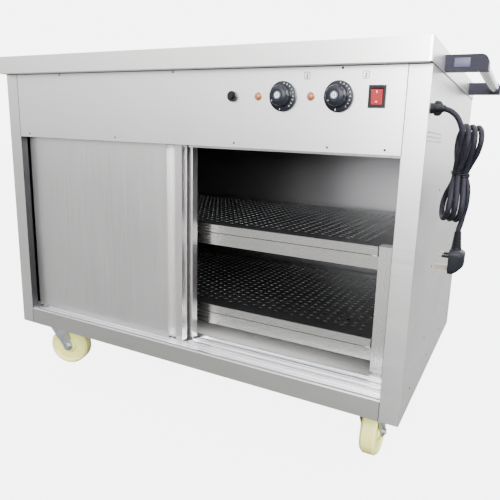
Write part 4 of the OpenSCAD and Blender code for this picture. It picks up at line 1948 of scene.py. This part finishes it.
@dataclass
class Carcass:
    """The cabinet's shell: its rivets and screws, the joint lines of its folded sheets, and a
    painted shadow line under the worktop's lip.
    """

    rivet: float = 2.6 * MM
    columns: tuple[float, ...] = (0.195, 0.455)
    column_heights: tuple[float, ...] = (0.100, 0.256, 0.412)
    row_height: float = 0.040
    row_places: tuple[float, ...] = (0.078, 0.250, 0.425, 0.560)
    floor_places: tuple[float, ...] = (0.134, 0.350, -0.300)
    # The vent's black sheet of painted shade: its extent back from the panel's front edge, and up
    # from its lower edge.
    vent_run: tuple[float, float] = (31 * MM, 184 * MM)
    vent_rise: tuple[float, float] = (497 * MM, 524 * MM)

    def side_rivets(self) -> None:
        """Sets the rivets that hold the rack and the base to both side panels."""
        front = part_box("front_fascia")[0][1]
        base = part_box("bottom_rail")[0][2]
        for side, outward in (("right", 1), ("left", -1)):
            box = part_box(f"side_panel_{side}")
            face = box[1][0] if outward > 0 else box[0][0]
            spots = [(face, front + y, base + z) for y in self.columns for z in self.column_heights]
            spots += [(face, front + y, base + self.row_height) for y in self.row_places]
            Fasteners(Head.RIVET, self.rivet, 0.9 * MM, DARK_RIVET).place(
                f"side_rivets_{side}", spots, Vector((outward, 0, 0)), "cabinet", "side_steel"
            )

    def front_rivets(self) -> None:
        """Sets the small dark rivets along the fascia's lower edge and under the worktop's lip."""
        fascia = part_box("front_fascia")
        left, right, front = fascia[0][0], fascia[1][0], fascia[0][1]
        low = fascia[0][2] + 8 * MM
        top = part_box("worktop")[0][2] - 4 * MM
        # Each row's height, then its rivets' places as fractions of the fascia's width.
        rows = ((low, (0.035, 0.33, 0.655, 0.86, 0.97)), (top, (0.155, 0.5, 0.882)))
        spots = [(left + (right - left) * part, front, z) for z, parts in rows for part in parts]
        Fasteners(Head.RIVET, 2.1 * MM, 0.7 * MM, DARK_RIVET).place(
            "fascia_rivets", spots, Vector((0, -1, 0)), "cabinet", "fascia_steel"
        )

    def back_screws(self) -> None:
        """Sets the pan-head screws round the back panel's edge."""
        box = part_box("back_panel")
        xs = [box[0][0] + (box[1][0] - box[0][0]) * k / 5 for k in range(6)]
        inset = 12 * MM
        xs[0], xs[-1] = xs[0] + inset, xs[-1] - inset
        zs = [box[0][2] + inset, box[1][2] - inset]
        spots = [(x, box[1][1], z) for x in xs for z in zs]
        zmid = (box[0][2] + box[1][2]) / 2
        spots += [(xs[0], box[1][1], zmid), (xs[-1], box[1][1], zmid)]
        Fasteners(Head.PAN, 3.6 * MM, 1.9 * MM).place(
            "back_screws", spots, Vector((0, 1, 0)), "cabinet", "side_steel"
        )

    def vent_screen(self) -> None:
        """A black sheet just behind the vent's slots: painted shade that makes them read dark."""
        low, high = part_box("side_panel_right")
        x = high[0] - 1.3 * MM
        shape = bmesh.new()
        (near, far), (foot, top) = self.vent_run, self.vent_rise
        corner = (x, low[1] + far, low[2] + top)
        add_box(shape, (x - 0.6 * MM, low[1] + near, low[2] + foot), corner)
        shade_backing = mesh_piece("vent_screen", shape, VENT_SHADE_SHEET, None)
        keep(shade_backing, "cabinet")

    def floor_screws(self) -> None:
        """Sets the screws in the cabinet floor behind the doors' track."""
        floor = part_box("cabinet_floor")
        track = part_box("track_bottom")
        y = track[1][1] + 6 * MM
        spots = [(x, y, floor[1][2]) for x in self.floor_places]
        Fasteners(Head.PAN, 3.8 * MM, 1.8 * MM).place(
            "floor_screws", spots, Vector((0, 0, 1)), "cabinet", "inner_steel"
        )

    def build(self) -> None:
        """Adds every fastener of the shell."""
        self.side_rivets()
        self.front_rivets()
        self.back_screws()
        self.floor_screws()
        self.seams_and_lip_shadow()
        self.vent_screen()

    def seams_and_lip_shadow(self) -> None:
        """The dark joint lines at the two side posts, and a painted shadow line under the worktop's
        lip.
        """
        shape = bmesh.new()
        half, proud, deep = 0.7 * MM, 0.12 * MM, 0.8 * MM
        for node in ("front_fascia", "bottom_rail"):
            low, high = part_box(node)
            for x in (low[0], high[0]):
                corner = (x + half, low[1] + deep, high[2] - 1 * MM)
                add_box(shape, (x - half, low[1] - proud, low[2]), corner)
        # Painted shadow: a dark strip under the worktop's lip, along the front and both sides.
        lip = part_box("worktop")[0][2]
        left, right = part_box("side_panel_left"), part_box("side_panel_right")
        x0, x1, y0, y1 = left[0][0], right[1][0], right[0][1], right[1][1]
        add_box(shape, (x0, y0 - proud, lip - 1.2 * MM), (x1, y0 + deep, lip - 0.05 * MM))
        for x, way in ((x0, -1), (x1, 1)):
            near, far = sorted((x - way * deep, x + way * proud))
            add_box(shape, (near, y0, lip - 1.0 * MM), (far, y1, lip - 0.05 * MM))
        seams_and_lip_shadow = mesh_piece("shell_seams", shape, SEALANT_AND_SHADOW, None)
        keep(seams_and_lip_shadow, "cabinet")


@dataclass
class Shelves:
    """The two lift-out perforated shelves, each a punched sheet with folded lips."""

    sheet: PerforatedSheet = field(default_factory=PerforatedSheet)
    leg_width: float = 25 * MM

    def outline(self, node: str) -> list[tuple[float, float]]:
        """The shelf's outline, notched at each corner round a rack leg.

        Args:
            node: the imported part's name.

        Returns:
            The outline's corners.
        """
        low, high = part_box(node)
        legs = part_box("rack_legs")
        inset = self.leg_width + 2.5 * MM
        x0, x1 = legs[0][0] + inset, legs[1][0] - inset
        y0, y1 = legs[0][1] + inset, legs[1][1] - inset
        lx, hx, ly, hy = low[0], high[0], low[1], high[1]
        return [
            (x0, ly), (x1, ly), (x1, y0), (hx, y0), (hx, y1), (x1, y1),
            (x1, hy), (x0, hy), (x0, y1), (lx, y1), (lx, y0), (x0, y0),
        ]

    def lips(self, node: str, outline: Sequence[tuple[float, float]]) -> Piece:
        """The lips folded down along the shelf's four long edges, and the feet under them.

        Args:
            node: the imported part's name.
            outline: the sheet's outline.

        Returns:
            The lips, as one piece.
        """
        low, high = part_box(node)
        t = self.sheet.thickness
        top = high[2] - t
        lip = low[2] + 1.5 * MM
        shape = bmesh.new()
        x0, x1 = outline[0][0], outline[1][0]
        y0, y1 = outline[3][1], outline[4][1]
        add_box(shape, (x0, low[1], lip), (x1, low[1] + t, top))
        add_box(shape, (x0, high[1] - t, lip), (x1, high[1], top))
        add_box(shape, (low[0], y0, lip), (low[0] + t, y1, top))
        add_box(shape, (high[0] - t, y0, lip), (high[0], y1, top))
        foot = 10 * MM
        for x in (x0 + 1 * MM, x1 - 1 * MM - foot):
            for y in (low[1] + 2 * MM, high[1] - 2 * MM - foot):
                add_box(shape, (x, y, low[2]), (x + foot, y + foot, top))
        return keep(mesh_piece(f"{node}_lips", shape, STEEL_RACK, None), "cabinet")

    def build(self) -> None:
        """Makes both shelves."""
        for node in ("shelf_upper", "shelf_lower"):
            outline = self.outline(node)
            sheet = self.sheet.place(f"{node}_sheet", outline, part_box(node)[1][2], STEEL_SHELF_SHADED)
            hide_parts(node)
            keep(sheet, "cabinet")
            self.lips(node, outline)


@dataclass
class ControlPanel:
    """The fascia's controls: dials, pilot lamps, reset button, rocker switch and heat symbols."""

    # In millimetres: the radius of a dial's skirt and of its grip, and the thermometer's bars as
    # left, bottom, right and top.
    skirt_r: float = 26.0
    grip_r: float = 18.0
    thermometer: tuple[tuple[float, float, float, float], ...] = (
        (-0.9, -2.6, 0.9, 3.8),
        (1.6, -0.3, 3.0, 0.4),
        (1.6, 1.7, 3.0, 2.4),
    )

    def facing(self, x: float, y: float, z: float) -> Matrix:
        """Turns a form's local Z to face forwards from a point, with local X to the right."""
        return Matrix.Translation((x, y, z)) @ Matrix.Rotation(math.radians(90), 4, "X")

    @staticmethod
    def ribs(angle: float, number: int) -> float:
        """The factor on a knob's radius that presses twelve shallow flutes into its grip."""
        return 1.0 - (0.035 * (0.5 - 0.5 * math.cos(12 * angle)) if 7 < number < 11 else 0.0)

    def knob(self, node: str) -> None:
        """A dial knob: a thin bevelled skirt with printed marks, and a grip with an inset cap.

        Args:
            node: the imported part's name.
        """
        low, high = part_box(node)
        centre = middle((low, high))
        back, front = high[1], low[1]
        reach = (back - front) / MM
        place = self.facing(centre.x, back, centre.z)
        shape = bmesh.new()
        s, g = self.skirt_r, self.grip_r
        skirt = [
            (0.0, 0.2), (s - 0.6, 0.2), (s, 0.8), (s, 4.0), (s - 0.8, 5.2), (s - 2.0, 5.8),
            (g + 1.0, 6.1), (g + 0.6, 6.4),
        ]
        fall = ((0.0, 8.0), (0.8, 4.6), (2.6, 2.0), (5.4, 0.6), (8.0, 0.2), (8.2, 1.0), (g, 1.0))
        grip = [(g, 7.4)] + [(g - inward, reach - down) for inward, down in fall]
        add_turned(shape, skirt + grip, place, 96, self.ribs)
        knob = mesh_piece(f"{node}_moulding", shape, PHENOLIC, 28.0)
        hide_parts(node)
        keep(knob, node)
        self.cap(node, place, reach)
        marks_at = place @ Matrix.Translation((0, 0, 5.75 * MM))
        scale = DialMarks(9, -48.0, (2.2 * MM, 0.6 * MM, 0.7 * MM))
        scale.place(f"{node}_scale", marks_at, INK_WHITE, node, "knob_plastic")
        stop = DialMarks(1, -98.0, (2.6 * MM, 1.0 * MM, 0.7 * MM), step_deg=27.0)
        stop.place(f"{node}_stop_mark", marks_at, INK_WHITE, node, "knob_plastic")

    def cap(self, node: str, place: Matrix, reach: float) -> None:
        """The grey printed cap in the grip, with its circle and bar, and a white index dot.

        Args:
            node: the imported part's name.
            place: from the knob's axes into the row frame.
            reach: how far the knob stands out, in millimetres.
        """
        shape = bmesh.new()
        disc = [(0.0, 1.2), (6.6, 1.2), (6.8, 0.7), (6.5, 0.45), (0.0, 0.45)]
        add_turned(shape, [(r, reach - down) for r, down in disc], place, 48)
        cap = mesh_piece(f"{node}_cap", shape, PRINTED_CAP)
        keep(cap, node)
        shape = bmesh.new()
        face, lift = reach - 0.5, place.to_3x3() @ Vector((0, 0, 0.32 * MM))
        outer, inner = (circle(place, r * MM, face * MM, 40) for r in (4.2, 3.1))
        add_plate(shape, outer, lift, inner)
        bar = ((-0.5, -2.2), (0.5, -2.2), (0.5, 5.4), (-0.5, 5.4))
        add_plate(shape, flat(place, bar, face), lift)
        keep(mesh_piece(f"{node}_symbol", shape, INK_WHITE, None), node)
        angle, reach_out = math.radians(222), self.grip_r * 0.72
        spot = Vector((reach_out * math.cos(angle), reach_out * math.sin(angle), reach - 1.6))
        dot = bmesh.new()
        bead = [(0.0, 0.0), (0.9, 0.0), (0.85, 0.7), (0.5, 1.0), (0.0, 1.1)]
        add_turned(dot, bead, place @ Matrix.Translation(spot * MM), 16)
        keep(mesh_piece(f"{node}_index", dot, INK_WHITE), node)

    def lamp(self, node: str) -> None:
        """A pilot lamp: a bright rim round a domed, faceted amber lens.

        Args:
            node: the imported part's name.
        """
        low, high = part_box(node)
        centre = middle((low, high))
        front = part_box("front_fascia")[0][1]
        place = self.facing(centre.x, front, centre.z)
        shape = bmesh.new()
        body = [
            (0.0, -18.0), (5.6, -18.0), (5.6, -1.6), (5.2, -0.6), (5.2, 2.2),
            (4.9, 3.6), (4.0, 4.6), (2.2, 5.0), (0.0, 5.05),
        ]
        add_turned(shape, body, place, 40)
        lens = mesh_piece(f"{node}_lens", shape, AMBER, 40.0)
        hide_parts(node)
        keep(lens, "cabinet")
        rim = bmesh.new()
        ring = (
            (5.3, -0.1), (7.4, -0.1), (7.5, 0.4), (7.2, 1.3), (6.4, 1.9), (5.6, 1.7), (5.3, 1.0),
        )
        add_hoop(rim, [(r * MM, z * MM) for r, z in ring], place, 40)
        keep(mesh_piece(f"{node}_rim", rim, AMBER_RIM, 50.0), "cabinet")

    def symbols(self) -> None:
        """The printed heat symbols to the right of the dials: a thermometer in a rounded square."""
        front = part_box("front_fascia")[0][1]
        z = middle(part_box("knob_top")).z
        for name, node in (("upper", "knob_top"), ("lower", "knob_bottom")):
            x = middle(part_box(node)).x
            shape = bmesh.new()
            place = self.facing(x, front, z) @ Matrix.Translation((44.5 * MM, 34.5 * MM, 0.02 * MM))
            lift = place.to_3x3() @ Vector((0, 0, 0.12 * MM))
            sizes = ((11.5, 2.4), (9.5, 1.5))
            outer, inner = (flat(place, rounded(w, w + 1.0, r)) for w, r in sizes)
            add_plate(shape, outer, lift, inner)
            for x0, z0, x1, z1 in self.thermometer:
                add_plate(shape, flat(place, ((x0, z0), (x1, z0), (x1, z1), (x0, z1))), lift)
            bulb = circle(place @ Matrix.Translation((0, -2.9 * MM, 0)), 1.6 * MM, 0.0, 16)
            add_plate(shape, bulb, lift * 1.2)
            symbol = mesh_piece(f"heat_symbol_{name}", shape, INK_GREY, None)
            keep(symbol, "cabinet")

    def rocker_marks(self) -> None:
        """The on bar and off ring printed on the rocker."""
        low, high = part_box("switch_rocker")
        centre = middle((low, high))
        shape = bmesh.new()
        for z, wide, tall in ((high[2] - 4.4 * MM, 0.5, 1.7), (low[2] + 4.4 * MM, 1.3, 0.5)):
            add_box(
                shape,
                (centre.x - wide * MM, low[1] - 0.15 * MM, z - tall * MM),
                (centre.x + wide * MM, low[1] + 1.2 * MM, z + tall * MM),
            )
        keep(mesh_piece("rocker_marks", shape, INK_WHITE, None), "switch_rocker")

    def build(self) -> None:
        """Makes every control."""
        for node in ("knob_top", "knob_bottom"):
            self.knob(node)
        for node in ("lamp_top", "lamp_bottom"):
            self.lamp(node)
        self.symbols()
        self.rocker_marks()


@dataclass
class PushHandle:
    """The push handle: moulded brackets with smoked insets, and a tube between them."""

    def insets(self) -> None:
        """The flush inset on each bracket's outer face, and a pale piece on its top that is a
        painted highlight.
        """
        for end in ("front", "back"):
            low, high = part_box(f"handle_bracket_{end}")
            length, inset = high[0] - low[0], 5.5 * MM
            face, out = (low[1], -1) if end == "front" else (high[1], 1)
            near, far = sorted((face, face + out * 0.5 * MM))
            forms = {
                "inset": (
                    (low[0] + 0.22 * length, near, low[2] + inset),
                    (low[0] + 0.58 * length, far, high[2] - inset),
                ),
                # Painted highlight: the pale piece on the bracket's top stands for the light along
                # it.
                "cap": (
                    (low[0] + 0.2 * length, low[1] + 6 * MM, high[2] - 0.2 * MM),
                    (low[0] + 0.52 * length, high[1] - 6 * MM, high[2] + 0.4 * MM),
                ),
            }
            for name, (start, stop) in forms.items():
                shape = bmesh.new()
                add_box(shape, start, stop)
                soften(shape, 0.4 * MM)
                piece = mesh_piece(f"bracket_{name}_{end}", shape, INSET_AND_HIGHLIGHT_PLASTIC)
                keep(piece, "cabinet")

    def soften_brackets(self, nodes: Mapping[str, Piece]) -> None:
        """Rounds the brackets' moulded edges.

        Args:
            nodes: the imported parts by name.
        """
        for end in ("front", "back"):
            part = nodes[f"handle_bracket_{end}"]
            weld = part.modifiers.new("weld", "WELD")
            weld.merge_threshold = 1e-5
            bevel = part.modifiers.new("round", "BEVEL")
            bevel.width, bevel.segments, bevel.limit_method = 1.4 * MM, 3, "ANGLE"
            bevel.angle_limit = math.radians(50)

    def build(self, nodes: Mapping[str, Piece]) -> None:
        """Finishes the handle."""
        self.insets()
        self.soften_brackets(nodes)


@dataclass
class Castors:
    """The four castors' small parts: plate bolts, axle nuts and the wheels' mould lines."""

    names: tuple[str, ...] = ("front_left", "front_right", "back_left", "back_right")
    nut_reach: float = 21.9 * MM
    bolt_inset: float = 10 * MM

    def axle(self, name: str) -> tuple[Vector, Vector]:
        """A wheel's middle, and its axle's direction found from the boxes of wheel and plate.

        Args:
            name: which castor.

        Returns:
            The middle and the direction.
        """
        wheel = middle(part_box(f"castor_wheel_{name}"))
        plate = middle(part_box(f"castor_plate_{name}"))
        trail = Vector((wheel.x - plate.x, wheel.y - plate.y, 0)).normalized()
        return wheel, Vector((0, 0, 1)).cross(trail)

    def build(self) -> None:
        """Adds the small parts of each castor."""
        for name in self.names:
            wheel, way = self.axle(name)
            fork = f"castor_swivel_{name}"
            for side, sign in (("a", 1), ("b", -1)):
                spot = wheel + way * self.nut_reach * sign
                Fasteners(Head.HEX, 7.2 * MM, 3.6 * MM).place(
                    f"axle_nut_{name}_{side}", [tuple(spot)], way * sign, fork, "castor_zinc"
                )
            low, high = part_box(f"castor_plate_{name}")
            cx, cy = (low[0] + high[0]) / 2, (low[1] + high[1]) / 2
            dx = (high[0] - low[0]) / 2 - self.bolt_inset
            dy = (high[1] - low[1]) / 2 - self.bolt_inset
            corners = [(sx, sy) for sx in (-1, 1) for sy in (-1, 1)]
            spots = [(cx + sx * dx, cy + sy * dy, high[2] - 3 * MM) for sx, sy in corners]
            Fasteners(Head.HEX, 5.6 * MM, 4.4 * MM).place(
                f"plate_bolts_{name}", spots, Vector((0, 0, -1)), "cabinet", "castor_zinc"
            )
            self.mould_line(name, wheel, way)

    def mould_line(self, name: str, wheel: Vector, way: Vector) -> None:
        """The fine flash line round the middle of a wheel's tread.

        Args:
            name: which castor.
            wheel: the wheel's middle.
            way: its axle's direction.
        """
        low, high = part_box(f"castor_wheel_{name}")
        radius = (high[2] - low[2]) / 2
        turn = Vector((0, 0, 1)).rotation_difference(way).to_matrix().to_4x4()
        section = ((-0.5, -0.3), (0.14, 0.0), (-0.5, 0.3))
        shape = bmesh.new()
        profile = [(radius + r * MM, z * MM) for r, z in section]
        add_hoop(shape, profile, Matrix.Translation(wheel) @ turn, 96)
        line = mesh_piece(f"mould_line_{name}", shape, FLASH, 60.0)
        keep(line, f"castor_wheel_{name}")


def main() -> None:
    """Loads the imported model, then dresses and completes it piece by piece."""
    logging.basicConfig(level=logging.INFO, format="%(name)s: %(message)s")
    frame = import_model()
    nodes = frame["nodes"]
    Studio().build()
    Dressing().build(nodes)
    MainsCord().build(nodes)
    Carcass().build()
    Shelves().build()
    ControlPanel().build()
    PushHandle().build(nodes)
    Castors().build()
    log.info("all pieces are in place")


if __name__ == "__main__":
    main()
